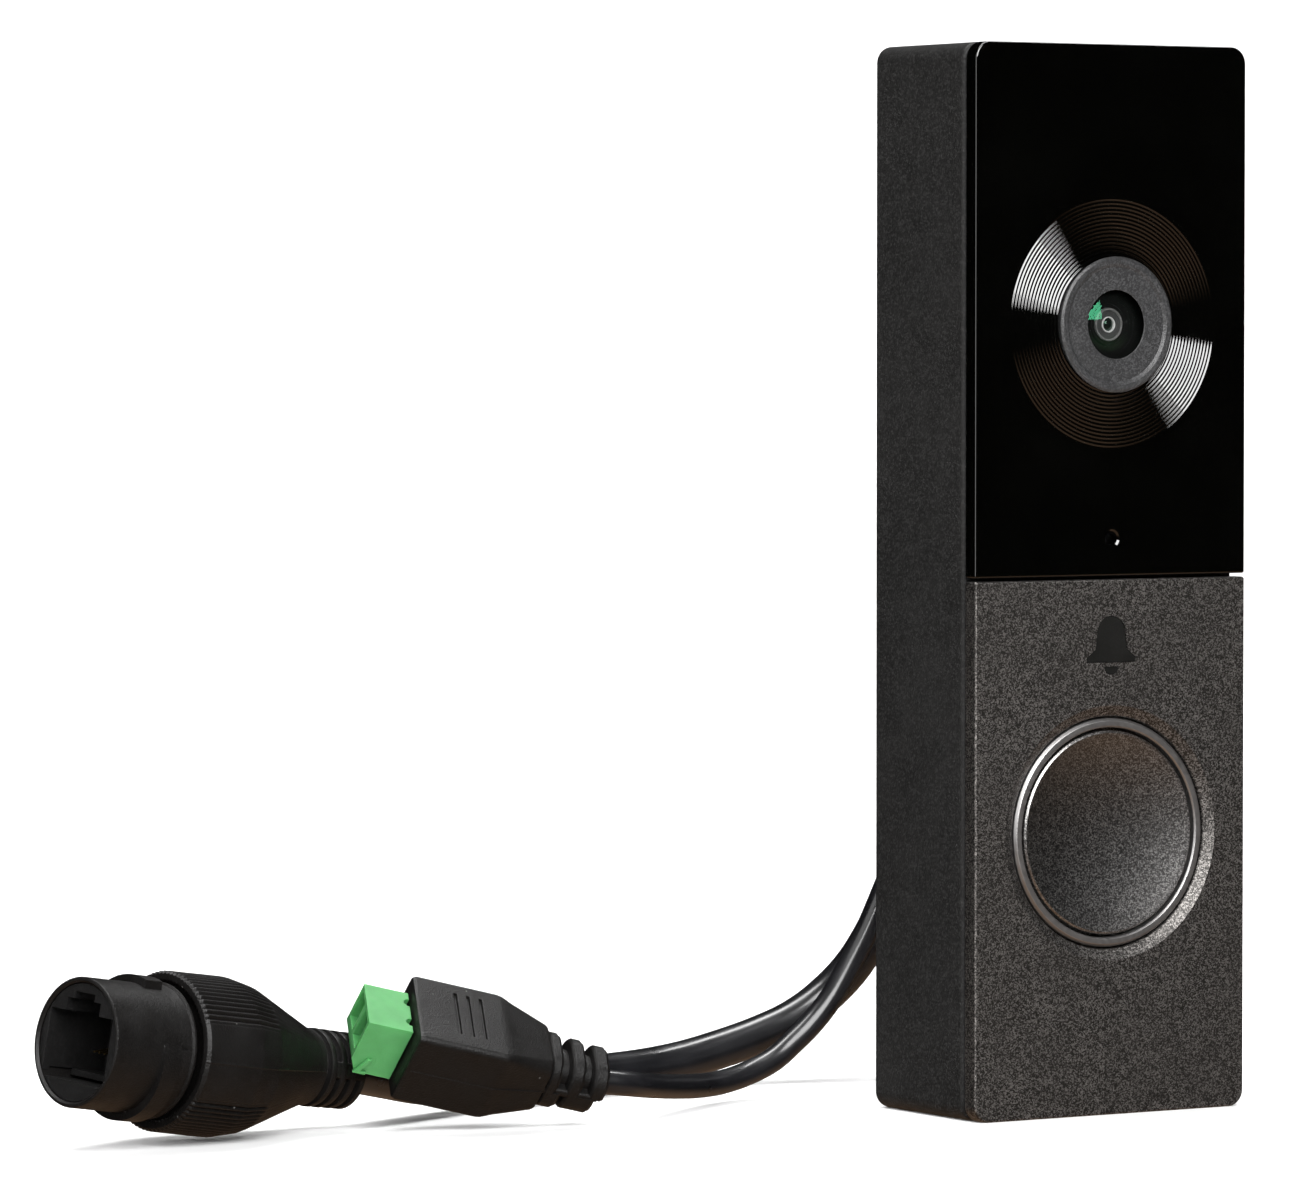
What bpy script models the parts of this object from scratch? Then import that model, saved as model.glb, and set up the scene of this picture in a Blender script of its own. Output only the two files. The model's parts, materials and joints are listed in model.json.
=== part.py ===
"""Video doorbell: housing, glass, faceplate, camera, button, boards, wall bracket and two leads.

Frame: the origin is on the bottom of the doorbell's body, between its sides, +Z is up and the front faces -Y.
All named sizes are in millimetres; MM turns them into metres.
"""
import math

import bmesh
import bpy
from mathutils import Matrix, Vector
from mathutils.geometry import interpolate_bezier

MM = 0.001
GAP = 0.3                                   # clearance between touching pieces

# Body
WIDTH = 42.1
HEIGHT = 137.0
DEPTH = 23.2
FRONT = -10.7                               # front face of the panels
REAR = FRONT + DEPTH                        # rear rim of the housing
PANEL = 2.4                                 # thickness of glass and faceplate
PANEL_BACK = FRONT + PANEL
SHADOW_GAP = 0.4                            # dark gap between panels and housing
RIM = PANEL_BACK + SHADOW_GAP               # front rim of the housing
CORNER = 2.2                                # corner radius of the outline
SEAM = 68.9                                 # height of the seam between the panels
SEAM_GAP = 0.45

# Housing and frame
WALL = 2.0
LEDGE = 3.4                                 # wall plus gasket ledge
LEDGE_Y = -3.0                              # front of the gasket ledge
BACK_IN = 8.4                               # inner side of the back wall
BACK_OUT = 10.2                             # floor of the rear recess
RECESS_X = 17.0
RECESS_Z = (5.0, 125.0)
CHAMBER_TOP = 12.5                          # top of the low chamber that holds the speaker
CHAMBER_BACK = 4.5
FRAME_BACK = -4.6
BORE_END = -4.3                             # bottom of the bores in the frame's posts
SCREW_TIP = -3.9

# Camera
LENS_Z = 101.25
BEZEL_R = 8.6
BEZEL_FRONT = -11.9                         # rim of the bezel, proud of the glass
LIP = -11.65                                # flat inner ring of the bezel
LENS_OPENING_R = 4.3
BARREL_R = 6.0
IR_RADIUS = 13.6
IR_ANGLES = (45, 135, 225, 315)
MIC_Z = 73.9

# Button
BUTTON_Z = 36.2
DISH_R = 16.35
DISH_DEPTH = 0.6
RING_R = 14.65
RING_INNER_R = 13.5
CAP_R = 13.1

# Bell sign, sunk into the faceplate
BELL_Z = 60.6
BELL_SIZE = 4.3
BELL_DEPTH = 0.25

# Boards and screws
BOARD = 1.0
MAIN_BOARD_Y = 3.4
HOUSING_SCREWS = ((-14.6, 17.5), (14.6, 17.5), (-14.6, 120.5), (14.6, 120.5))
CAMERA_SCREWS = ((-14.6, 113.8), (14.6, 89.0))
BUTTON_SCREWS = ((-13.6, 49.4), (13.6, 23.0))
BOARD_SCREWS = ((-14.6, 84.0), (14.6, 84.0))

# Rear exit of the leads
EXIT_Z = 44.0
ETHERNET_X = 4.2
TERMINAL_X = -4.2
SLEEVE_END = 16.8

# Leads: the routes run from the gland to the connector
ETHERNET_D = 5.2
TERMINAL_D = 3.2
ETHERNET_ROUTE = (
    (4.2, 17.1, 44.0), (4.4, 21.9, 43.7), (4.2, 28.0, 41.4), (3.3, 34.1, 36.6), (1.9, 39.1, 29.6),
    (0.1, 42.4, 22.0), (-3.0, 44.4, 15.6), (-6.9, 46.0, 11.2), (-11.4, 46.9, 8.2), (-16.6, 47.5, 6.2),
    (-22.1, 47.5, 4.8), (-28.6, 47.0, 3.6), (-35.5, 45.8, 3.0), (-43.4, 43.5, 2.9), (-52.3, 40.6, 2.9),
    (-61.1, 37.5, 2.9), (-69.5, 36.1, 3.2), (-76.9, 33.3, 4.2), (-83.6, 30.6, 5.6), (-90.50, 28.13, 7.09))
TERMINAL_ROUTE = (
    (-4.2, 17.1, 44.0), (-4.0, 20.5, 43.6), (-4.5, 23.8, 41.2), (-5.7, 26.0, 37.0), (-7.4, 27.3, 31.5),
    (-9.5, 27.8, 26.4), (-11.7, 28.2, 21.6), (-14.1, 28.6, 17.2), (-16.8, 28.9, 12.9), (-19.6, 29.3, 9.6),
    (-22.5, 29.6, 7.1), (-25.5, 29.6, 5.0), (-29.9, 28.9, 3.5), (-35.1, 26.9, 2.8), (-40.9, 23.7, 2.9),
    (-47.2, 19.8, 3.5), (-53.3, 15.8, 4.3), (-57.9, 13.3, 5.0), (-61.57, 13.49, 5.47))

# Connectors: nose centre, direction from nose to tail, and roll about that direction
RJ45_NOSE = (-133.3, 19.3, 13.7)
RJ45_ANGLES = (11.7, -8.6, 4.0)
RJ45_TAIL = 43.8
JACK_WIDTH = 12.0
JACK_HEIGHT = 8.2
JACK_DEPTH = 10.0
TERMINAL_NOSE = (-93.5, 20.5, 13.5)
TERMINAL_ANGLES = (-12.4, -13.8, 38.5)
BLOCK_WIDTH = 7.2
BLOCK_HEIGHT = 8.3
MOULD_WIDTH = 12.2
MOULD_HEIGHT = 11.0
TERMINAL_TAIL = 33.3

FINISHES = {                                # colour, metallic, roughness
    "housing": ((0.030, 0.030, 0.031), 0.0, 0.55),
    "black_plastic": ((0.012, 0.012, 0.012), 0.0, 0.5),
    "glass": ((0.004, 0.004, 0.005), 0.0, 0.05),
    "faceplate": ((0.085, 0.080, 0.078), 0.6, 0.5),
    "bezel": ((0.090, 0.090, 0.092), 0.2, 0.55),
    "lens": ((0.020, 0.045, 0.035), 0.0, 0.03),
    "satin_metal": ((0.42, 0.42, 0.43), 1.0, 0.25),
    "cap": ((0.085, 0.080, 0.078), 0.7, 0.45),
    "rubber": ((0.010, 0.010, 0.010), 0.0, 0.7),
    "board": ((0.010, 0.070, 0.030), 0.0, 0.45),
    "steel": ((0.50, 0.50, 0.50), 1.0, 0.3),
    "led": ((0.80, 0.80, 0.75), 0.0, 0.2),
    "component": ((0.020, 0.020, 0.022), 0.0, 0.4),
    "white_plastic": ((0.75, 0.73, 0.68), 0.0, 0.4),
    "foam": ((0.030, 0.030, 0.030), 0.0, 0.9),
    "cable": ((0.014, 0.014, 0.016), 0.0, 0.35),
    "moulding": ((0.022, 0.019, 0.018), 0.0, 0.55),
    "green_plastic": ((0.10, 0.50, 0.14), 0.0, 0.35),
}


def clear_scene():
    """Remove every object of the scene."""
    for old in list(bpy.data.objects):
        bpy.data.objects.remove(old, do_unlink=True)


def finish_material(finish):
    """Return the Principled material of one finish."""
    material = bpy.data.materials.get(finish)
    if material:
        return material
    colour, metallic, roughness = FINISHES[finish]
    material = bpy.data.materials.new(finish)
    material.use_nodes = True
    shader = material.node_tree.nodes["Principled BSDF"]
    shader.inputs["Base Color"].default_value = (*colour, 1.0)
    shader.inputs["Metallic"].default_value = metallic
    shader.inputs["Roughness"].default_value = roughness
    return material


def add_object(name, mesh, finish, place=None):
    """Link a mesh as an object; without a finish it is a cutter."""
    bmesh.ops.recalc_face_normals(mesh, faces=mesh.faces)
    data = bpy.data.meshes.new(name)
    mesh.to_mesh(data)
    mesh.free()
    data.shade_smooth()
    data.set_sharp_from_angle(angle=math.radians(30))
    made = bpy.data.objects.new(name, data)
    bpy.context.scene.collection.objects.link(made)
    if place is not None:
        made.matrix_world = place
    if finish:
        data.materials.append(finish_material(finish))
    else:
        made.hide_render = True
        made.display_type = "WIRE"
    return made


def point(x, y, z):
    """A point in metres from millimetres."""
    return Vector((x, y, z)) * MM


def at(x, y, z):
    """A placement matrix from a point in millimetres."""
    return Matrix.Translation(point(x, y, z))


def connector_frame(nose, angles):
    """Frame with +Y from nose to tail: azimuth, tilt and roll are in degrees."""
    azimuth, tilt, roll = (math.radians(angle) for angle in angles)
    turn = Matrix.Rotation(azimuth - math.pi / 2, 4, "Z") @ Matrix.Rotation(tilt, 4, "X")
    return at(*nose) @ turn @ Matrix.Rotation(roll, 4, "Y")


def cut(target, cutter, mode="DIFFERENCE"):
    """Add one exact Boolean to the target."""
    change = target.modifiers.new(cutter.name, "BOOLEAN")
    change.operation = mode
    change.solver = "EXACT"
    change.object = cutter


def bevel_edges(made, width, angle=40):
    """Round an object's sharp edges."""
    rounding = made.modifiers.new("rounding", "BEVEL")
    rounding.width = width * MM
    rounding.segments = 2
    rounding.limit_method = "ANGLE"
    rounding.angle_limit = math.radians(angle)


def prism(name, outline, low, high, finish, place=None):
    """Extrude an outline of (x, z) points from y = low to y = high."""
    mesh = bmesh.new()
    face = mesh.faces.new([mesh.verts.new(point(x, low, z)) for x, z in outline])
    grown = bmesh.ops.extrude_face_region(mesh, geom=[face])["geom"]
    moved = [item for item in grown if isinstance(item, bmesh.types.BMVert)]
    bmesh.ops.translate(mesh, verts=moved, vec=point(0, high - low, 0))
    return add_object(name, mesh, finish, place)


def box(name, xs, ys, zs, finish, place=None):
    """A box from its x, y and z ranges."""
    outline = ((xs[0], zs[0]), (xs[1], zs[0]), (xs[1], zs[1]), (xs[0], zs[1]))
    return prism(name, outline, ys[0], ys[1], finish, place)


def rounded_outline(xs, zs, radii, steps=4):
    """Rectangle whose corners, from low x and low z counterclockwise, have the given radii."""
    corners = ((xs[0], zs[0], 180), (xs[1], zs[0], 270), (xs[1], zs[1], 0), (xs[0], zs[1], 90))
    outline = []
    for (x, z, start), radius in zip(corners, radii):
        centre_x = x + radius * (1 if x == xs[0] else -1)
        centre_z = z + radius * (1 if z == zs[0] else -1)
        for step in range(steps + 1):
            angle = math.radians(start + 90 * step / steps)
            outline.append((centre_x + radius * math.cos(angle), centre_z + radius * math.sin(angle)))
    return outline


def turned(name, profile, finish, place=None, steps=32, ring=False):
    """Turn (radius, y) points about Y: a ring's profile is closed, a solid's ends on the axis."""
    mesh = bmesh.new()
    verts = [mesh.verts.new(point(radius, y, 0)) for radius, y in profile]
    ends = verts[1:] + verts[:1] if ring else verts[1:]
    edges = [mesh.edges.new(pair) for pair in zip(verts, ends)]
    bmesh.ops.spin(mesh, geom=verts + edges, cent=(0, 0, 0), axis=(0, 1, 0), angle=2 * math.pi,
                   steps=steps, use_merge=True)
    bmesh.ops.remove_doubles(mesh, verts=mesh.verts, dist=1e-6)
    return add_object(name, mesh, finish, place)


def disc(name, radius, low, high, finish, place=None, steps=24):
    """A plain round solid along Y."""
    return turned(name, ((0, low), (radius, low), (radius, high), (0, high)), finish, place, steps)


def smooth_path(route, piece=3.0):
    """Points at most `piece` diameters apart on a smooth curve through the route's points."""
    nodes = [Vector(node) for node in route]
    tangents = [nodes[1] - nodes[0]]
    for before, after in zip(nodes, nodes[2:]):
        tangents.append((after - before) / 2)
    tangents.append(nodes[-1] - nodes[-2])
    path = [nodes[0]]
    for index, (start, end) in enumerate(zip(nodes, nodes[1:])):
        handles = (start + tangents[index] / 3, end - tangents[index + 1] / 3)
        count = max(1, math.ceil((end - start).length / piece))
        path += interpolate_bezier(start, handles[0], handles[1], end, count + 1)[1:]
    return path


def lead(name, route, diameter, piece):
    """A cable as a bevelled curve along its route."""
    curve = bpy.data.curves.new(name, "CURVE")
    curve.dimensions = "3D"
    curve.bevel_depth = diameter / 2 * MM
    curve.bevel_resolution = 2
    curve.use_fill_caps = True
    path = smooth_path(route, piece)
    spline = curve.splines.new("POLY")
    spline.points.add(len(path) - 1)
    for slot, node in zip(spline.points, path):
        slot.co = (*(node * MM), 1.0)
    curve.materials.append(finish_material("cable"))
    made = bpy.data.objects.new(name, curve)
    bpy.context.scene.collection.objects.link(made)
    return made


def screw(name, x, z, head_y, tip_y, head_r, shank_r, head_t):
    """Pan-head screw along Y whose head's outer face is at head_y; it points from there to tip_y."""
    way = 1 if tip_y > head_y else -1
    neck = head_y + way * head_t
    profile = [(0, head_y), (head_r * 0.8, head_y), (head_r, neck), (shank_r, neck),
               (shank_r, tip_y - way * shank_r), (0, tip_y)]
    return turned(name, profile, "steel", at(x, 0, z), 12)


def build_housing():
    """Tub with a gasket ledge, speaker chamber, screw bosses and a rear recess for the bracket."""
    half = WIDTH / 2
    housing = prism("rear_housing", rounded_outline((-half, half), (0, HEIGHT), (CORNER,) * 4),
                    RIM, REAR, "housing")
    bevel_edges(housing, 0.7)
    mouth = half - WALL
    cut(housing, prism("cut_mouth", rounded_outline((-mouth, mouth), (WALL, HEIGHT - WALL), (1.2,) * 4, 2),
                       RIM - 2, LEDGE_Y, None))
    deep = half - LEDGE
    boss = 3.4
    x_in = HOUSING_SCREWS[1][0] - boss
    z_low, z_high = HOUSING_SCREWS[0][1] + boss, HOUSING_SCREWS[2][1] - boss
    outline = ((-x_in, CHAMBER_TOP), (x_in, CHAMBER_TOP), (x_in, z_low), (deep, z_low), (deep, z_high),
               (x_in, z_high), (x_in, HEIGHT - LEDGE), (-x_in, HEIGHT - LEDGE), (-x_in, z_high),
               (-deep, z_high), (-deep, z_low), (-x_in, z_low))
    cut(housing, prism("cut_deep", outline, 2.3 - GAP, BACK_IN, None))
    cut(housing, box("cut_middle", (-deep, deep), (LEDGE_Y - 1, 2.3), (LEDGE, HEIGHT - LEDGE), None))
    cut(housing, box("cut_chamber", (-x_in - 3, x_in + 3), (0, CHAMBER_BACK), (LEDGE, CHAMBER_TOP), None))
    recess = rounded_outline((-RECESS_X, RECESS_X), RECESS_Z, (3.0,) * 4, 3)
    cut(housing, prism("cut_recess", recess, BACK_OUT, REAR + 2, None))
    cut(housing, box("cut_tab", (-4.3, 4.3), (6.3, REAR + 2), (5.0, 11.9), None))
    gland_hole = rounded_outline((-10.2, 10.2), (EXIT_Z - 6.2, EXIT_Z + 6.2), (3.0,) * 4, 3)
    cut(housing, prism("cut_gland", gland_hole, BACK_IN - 2, BACK_OUT + 2, None))
    for index, (x, z) in enumerate(HOUSING_SCREWS, 1):
        cut(housing, turned(f"cut_screw_{index}", ((0, 1), (1.55, 1), (1.55, 6.4), (2.6, 6.4),
                                                   (2.6, REAR + 1), (0, REAR + 1)), None, at(x, 0, z), 16))
    for index in range(6):
        x = -10.0 + 4.0 * index
        cut(housing, box(f"cut_slot_{index + 1}", (x - 0.7, x + 0.7), (-1.4, 3.2), (-1, LEDGE + 1), None))
    down = Matrix.Translation(point(0, 8.4, 0)) @ Matrix.Rotation(math.radians(90), 4, "X")
    cut(housing, turned("cut_security", ((0, -1), (2.4, -1), (2.4, 2.0), (1.4, 2.0), (1.4, 6.5), (0, 6.5)),
                        None, down, 16))
    for index, (x, z) in enumerate(BOARD_SCREWS, 1):
        profile = ((1.2, 4.7), (2.6, 4.7), (2.6, BACK_IN + 0.6), (1.2, BACK_IN + 0.6))
        post = turned(f"add_post_{index}", profile, None, at(x, 0, z), 16, ring=True)
        cut(housing, post, "UNION")
    return housing


def build_frame():
    """Inner frame behind the panels, with its openings and rear posts."""
    reach = WIDTH / 2 - WALL - GAP
    outline = rounded_outline((-reach, reach), (WALL + GAP, HEIGHT - WALL - GAP), (1.0,) * 4, 2)
    frame = prism("front_frame", outline, PANEL_BACK + GAP, FRAME_BACK, "black_plastic")
    posts = [(x, z, 2.6, 2.0) for x, z in HOUSING_SCREWS]
    posts += [(x, z, 2.0, 0.3) for x, z in CAMERA_SCREWS]
    posts += [(x, z, 2.0, -1.3) for x, z in BUTTON_SCREWS]
    for index, (x, z, radius, end) in enumerate(posts, 1):
        bore = radius - 1.0
        post = ((0, FRAME_BACK - 1), (radius, FRAME_BACK - 1), (radius, end), (bore, end), (bore, BORE_END),
                (0, BORE_END))
        cut(frame, turned(f"add_frame_post_{index}", post, None, at(x, 0, z), 12), "UNION")
    cut(frame, disc("cut_camera", 11.0, -9, -3, None, at(0, 0, LENS_Z), 32))
    for index, angle in enumerate(IR_ANGLES, 1):
        x, z = polar(IR_RADIUS, angle, LENS_Z)
        cut(frame, disc(f"cut_ir_{index}", 2.15, -9, -3, None, at(x, 0, z), 12))
    cut(frame, disc("cut_mic", 3.6, -9, -3, None, at(0, 0, MIC_Z), 20))
    well = ((0, -9), (16.0, -9), (16.0, -6.3), (14.4, -6.3), (14.4, -3), (0, -3))
    cut(frame, turned("cut_well", well, None, at(0, 0, BUTTON_Z), 36))
    return frame


def build_gasket():
    """Rubber ring between the frame and the housing's ledge."""
    outer = WIDTH / 2 - WALL - GAP
    inner = outer - 1.0
    outline = rounded_outline((-outer, outer), (WALL + GAP, HEIGHT - WALL - GAP), (1.0,) * 4, 2)
    gasket = prism("housing_gasket", outline, FRAME_BACK + GAP, LEDGE_Y - GAP, "rubber")
    hole = box("cut_gasket", (-inner, inner), (-6, -1), (WALL + GAP + 1, HEIGHT - WALL - GAP - 1), None)
    cut(gasket, hole)


def polar(radius, degrees, centre_z):
    """(x, z) of a point on a circle about the centre line."""
    angle = math.radians(degrees)
    return radius * math.cos(angle), centre_z + radius * math.sin(angle)


def build_panels():
    """Glass panel above the seam and grained faceplate with its dished well below it."""
    half = WIDTH / 2
    low = SEAM + SEAM_GAP / 2
    glass = prism("front_glass", rounded_outline((-half, half), (low, HEIGHT), (0.3, 0.3, CORNER, CORNER)),
                  FRONT, PANEL_BACK, "glass")
    cut(glass, disc("cut_bezel", BEZEL_R + GAP, FRONT - 1, PANEL_BACK + 1, None, at(0, 0, LENS_Z), 36))
    cut(glass, disc("cut_mic_hole", 0.95, FRONT - 1, PANEL_BACK + 1, None, at(0, 0, MIC_Z), 16))
    high = SEAM - SEAM_GAP / 2
    plate = prism("faceplate", rounded_outline((-half, half), (0, high), (CORNER, CORNER, 0.3, 0.3)),
                  FRONT, PANEL_BACK, "faceplate")
    hole = RING_R + GAP
    dish = ((0, FRONT - 1), (DISH_R + 1, FRONT - 1), (DISH_R, FRONT), (hole, FRONT + DISH_DEPTH),
            (hole, PANEL_BACK + 1), (0, PANEL_BACK + 1))
    cut(plate, turned("cut_dish", dish, None, at(0, 0, BUTTON_Z), 48))
    for cutter in bell_cutters(BELL_Z, BELL_SIZE):
        cut(plate, cutter)


def bell_cutters(centre_z, size):
    """Cutters of a plain bell sign: a domed body with a flared rim, and a clapper."""
    dome = [(0.52 * math.cos(math.radians(angle)), 0.25 + 0.55 * math.sin(math.radians(angle)))
            for angle in range(0, 181, 30)]
    body = [(-0.9, -0.6), (0.9, -0.6), (0.9, -0.45), (0.58, -0.2)] + dome + [(-0.58, -0.2), (-0.9, -0.45)]
    clapper = [(0.26 * math.cos(math.radians(angle)), -0.72 + 0.26 * math.sin(math.radians(angle)))
               for angle in range(180, 361, 30)]
    shapes = (("cut_bell_body", body), ("cut_bell_clapper", clapper))
    return [prism(name, [(x * size, z * size) for x, z in outline], FRONT - 1, FRONT + BELL_DEPTH, None,
                  at(0, 0, centre_z)) for name, outline in shapes]


def build_camera():
    """Bezel, window, lens, sensor, its board and the infrared ring."""
    centre = at(0, 0, LENS_Z)
    bezel = ((LENS_OPENING_R, LIP), (7.3, LIP), (7.6, BEZEL_FRONT), (8.2, BEZEL_FRONT), (BEZEL_R, -11.5),
             (BEZEL_R, -8.0), (10.5, -8.0), (10.5, -7.0), (7.0, -7.0), (7.0, LIP + 0.35),
             (LENS_OPENING_R, LIP + 0.35))
    turned("lens_bezel", bezel, "bezel", centre, 36, ring=True)
    disc("lens_window", 6.7, -11.0, -10.6, "glass", centre, 32)
    barrel = ((2.3, -10.3), (5.6, -10.3), (BARREL_R, -9.9), (BARREL_R, -1.0), (3.2, -1.0), (3.2, -8.4),
              (2.7, -8.4), (2.7, -9.8), (2.3, -9.8))
    turned("lens_barrel", barrel, "black_plastic", centre, 28, ring=True)
    disc("front_lens", 2.4, -9.5, -8.7, "lens", centre)
    disc("rear_lens", 2.9, -5.0, -3.4, "lens", centre)
    holder = box("lens_holder", (-7.5, 7.5), (-3.2, 0.3), (-7.5, 7.5), "black_plastic", centre)
    cut(holder, disc("cut_holder", BARREL_R + GAP, -5, 2, None, centre, 32))
    box("image_sensor", (-3.4, 3.4), (-0.6, 0.3), (-2.8, 2.8), "component", centre)
    board = box("camera_board", (-17, 17), (0.6, 0.6 + BOARD), (86.6, 116.2), "board")
    for index, (x, z) in enumerate(CAMERA_SCREWS, 1):
        cut(board, disc(f"cut_camera_board_{index}", 1.2, -1, 3, None, at(x, 0, z), 16))
        screw(f"camera_screw_{index}", x, z, 3.0, SCREW_TIP, 1.9, 0.7, 1.0)
    turned("ir_board", ((8.0, -4.3), (16.3, -4.3), (16.3, -3.5), (8.0, -3.5)), "board", centre, 40, ring=True)
    for index, angle in enumerate(IR_ANGLES, 1):
        x, z = polar(IR_RADIUS, angle, LENS_Z)
        dome = ((0, -7.6), (1.2, -7.2), (1.8, -6.2), (1.8, FRAME_BACK), (0, FRAME_BACK))
        turned(f"ir_led_{index}", dome, "led", at(x, 0, z), 12)


def build_microphone():
    """Capsule in a rubber boot behind the hole in the glass."""
    centre = at(0, 0, MIC_Z)
    boot = ((0.7, -8.0), (3.3, -8.0), (3.3, -4.2), (2.4, -4.2), (2.4, -7.2), (0.7, -7.2))
    turned("mic_boot", boot, "rubber", centre, 16, ring=True)
    disc("microphone", 2.1, -6.9, -4.4, "steel", centre, 16)


def build_button():
    """Ring, cap, tact switch with its plunger, and the board that carries them."""
    centre = at(0, 0, BUTTON_Z)
    ring = ((RING_INNER_R, -10.1), (RING_INNER_R + 0.25, -10.3), (RING_R - 0.25, -10.3), (RING_R, -10.1),
            (RING_R, -8.0), (15.7, -8.0), (15.7, -6.6), (RING_INNER_R, -6.6))
    turned("button_ring", ring, "satin_metal", centre, 40, ring=True)
    cap = ((0, -9.6), (6.5, -9.72), (12.5, -10.1), (CAP_R, -9.75), (CAP_R, -6.3),
           (14.1, -6.3), (14.1, -5.4), (11.9, -5.4), (11.9, -8.4), (2.0, -8.4), (2.0, -4.9), (0, -4.9))
    turned("button_cap", cap, "cap", centre, 40)
    turned("switch_plunger", ((0, -4.6), (1.5, -4.6), (1.5, -2.8), (0, -2.8)), "white_plastic", centre, 16)
    body = box("switch_body", (-3.0, 3.0), (-3.7, -1.3), (-3.0, 3.0), "component", centre)
    cut(body, disc("cut_switch", 1.8, -5, -2.0, None, centre, 16))
    board = box("button_board", (-16, 16), (-1.0, 0.0), (20.8, 51.6), "board")
    for index, (x, z) in enumerate(BUTTON_SCREWS, 1):
        cut(board, disc(f"cut_button_board_{index}", 1.2, -2, 1, None, at(x, 0, z), 16))
        screw(f"button_screw_{index}", x, z, 1.3, SCREW_TIP, 1.9, 0.7, 1.0)
    for index, angle in enumerate((0, 90, 180, 270), 1):
        x, z = polar(12.6, angle, BUTTON_Z)
        box(f"ring_led_{index}", (x - 1.0, x + 1.0), (-2.2, -1.3), (z - 1.0, z + 1.0), "led")


def build_speaker():
    """Speaker that fires down through the slots, on a foam gasket."""
    gasket = box("speaker_gasket", (-12.5, 12.5), (-2.4, 4.0), (LEDGE + GAP, 4.9), "foam")
    cut(gasket, box("cut_speaker_gasket", (-10.5, 10.5), (-1.4, 3.0), (2, 6), None))
    speaker = box("speaker", (-12.5, 12.5), (-2.4, 4.0), (5.2, 11.0), "component")
    bevel_edges(speaker, 0.5)


def build_boards():
    """Main board with what stands on it."""
    low, high = MAIN_BOARD_Y, MAIN_BOARD_Y + BOARD
    board = box("main_board", (-17.2, 17.2), (low, high), (22.5, 115.0), "board")
    for index, (x, z) in enumerate(BOARD_SCREWS, 1):
        cut(board, disc(f"cut_main_board_{index}", 1.2, 2, 6, None, at(x, 0, z), 16))
        screw(f"board_screw_{index}", x, z, 2.0, 6.2, 1.9, 0.8, 1.1)
    seat = low - GAP
    box("shield_can", (-11.0, 11.0), (seat - 2.4, seat), (67.0, 81.0), "steel")
    box("thermal_pad", (-9.0, 9.0), (seat - 3.9, seat - 2.7), (68.5, 79.5), "foam")
    box("poe_transformer", (-14.0, -4.0), (seat - 6.2, seat), (53.5, 63.5), "component")
    for index, x in enumerate((1.0, 7.5), 1):
        upright = at(x, seat - 3.0, 58.5) @ Matrix.Rotation(math.radians(90), 4, "X")
        disc(f"capacitor_{index}", 2.6, -4.0, 4.0, "component", upright, 20)
    box("ethernet_header", (-15.0, -2.0), (seat - 2.6, seat), (24.0, 28.5), "white_plastic")
    box("power_header", (2.0, 8.0), (seat - 2.6, seat), (24.0, 28.5), "white_plastic")


def build_gland():
    """Rubber gland in the back wall with a tapered sleeve for each lead."""
    neck = rounded_outline((-9.9, 9.9), (EXIT_Z - 5.9, EXIT_Z + 5.9), (2.8,) * 4, 3)
    flange = rounded_outline((-11.4, 11.4), (EXIT_Z - 7.4, EXIT_Z + 7.4), (3.0,) * 4, 3)
    gland = prism("cable_gland", neck, 5.5, BACK_OUT + 1.8, "rubber")
    cut(gland, prism("add_gland_flange", flange, 5.1, BACK_IN - GAP, None), "UNION")
    for x, radius in ((ETHERNET_X, ETHERNET_D / 2), (TERMINAL_X, TERMINAL_D / 2)):
        sleeve = ((0, 9.0), (radius + 1.5, 9.0), (radius + 1.4, 12.8), (radius + 0.6, SLEEVE_END),
                  (0, SLEEVE_END))
        cut(gland, turned(f"add_sleeve_{x}", sleeve, None, at(x, 0, EXIT_Z), 20), "UNION")


def build_bracket():
    """Wall bracket in the rear recess, its slots, and the screw that locks the body to it."""
    zs = (RECESS_Z[0] + GAP, RECESS_Z[1] - GAP)
    edge = RECESS_X - GAP
    bracket = prism("wall_bracket", rounded_outline((-edge, edge), zs, (2.7,) * 4, 3),
                    BACK_OUT + GAP, REAR, "steel")
    cut(bracket, box("add_tab", (-4.0, 4.0), (6.6, REAR - 0.4), (zs[0] + 0.1, 11.6), None), "UNION")
    hole = rounded_outline((-11.0, 11.0), (EXIT_Z - 9.0, EXIT_Z + 9.0), (3.0,) * 4, 3)
    cut(bracket, prism("cut_cable_window", hole, 7, REAR + 1, None))
    for name, z in (("low", 24.0), ("high", 108.0)):
        slot = rounded_outline((-1.9, 1.9), (z - 4.0, z + 4.0), (1.9,) * 4, 4)
        cut(bracket, prism(f"cut_wall_slot_{name}", slot, 7, REAR + 1, None))
    up = at(0, 8.4, 0) @ Matrix.Rotation(math.radians(90), 4, "X")
    cut(bracket, disc("cut_tab_bore", 1.4, 3, 9.9, None, up, 16))
    profile = [(0, 0.5), (1.7, 0.5), (2.1, 0.9), (2.1, 1.7), (1.1, 1.7), (1.1, 8.6), (0.5, 9.4), (0, 9.4)]
    turned("security_screw", profile, "steel", up, 16)
    for index, (x, z) in enumerate(HOUSING_SCREWS, 1):
        screw(f"housing_screw_{index}", x, z, 8.1, SCREW_TIP, 2.2, 1.2, 1.4)


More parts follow.
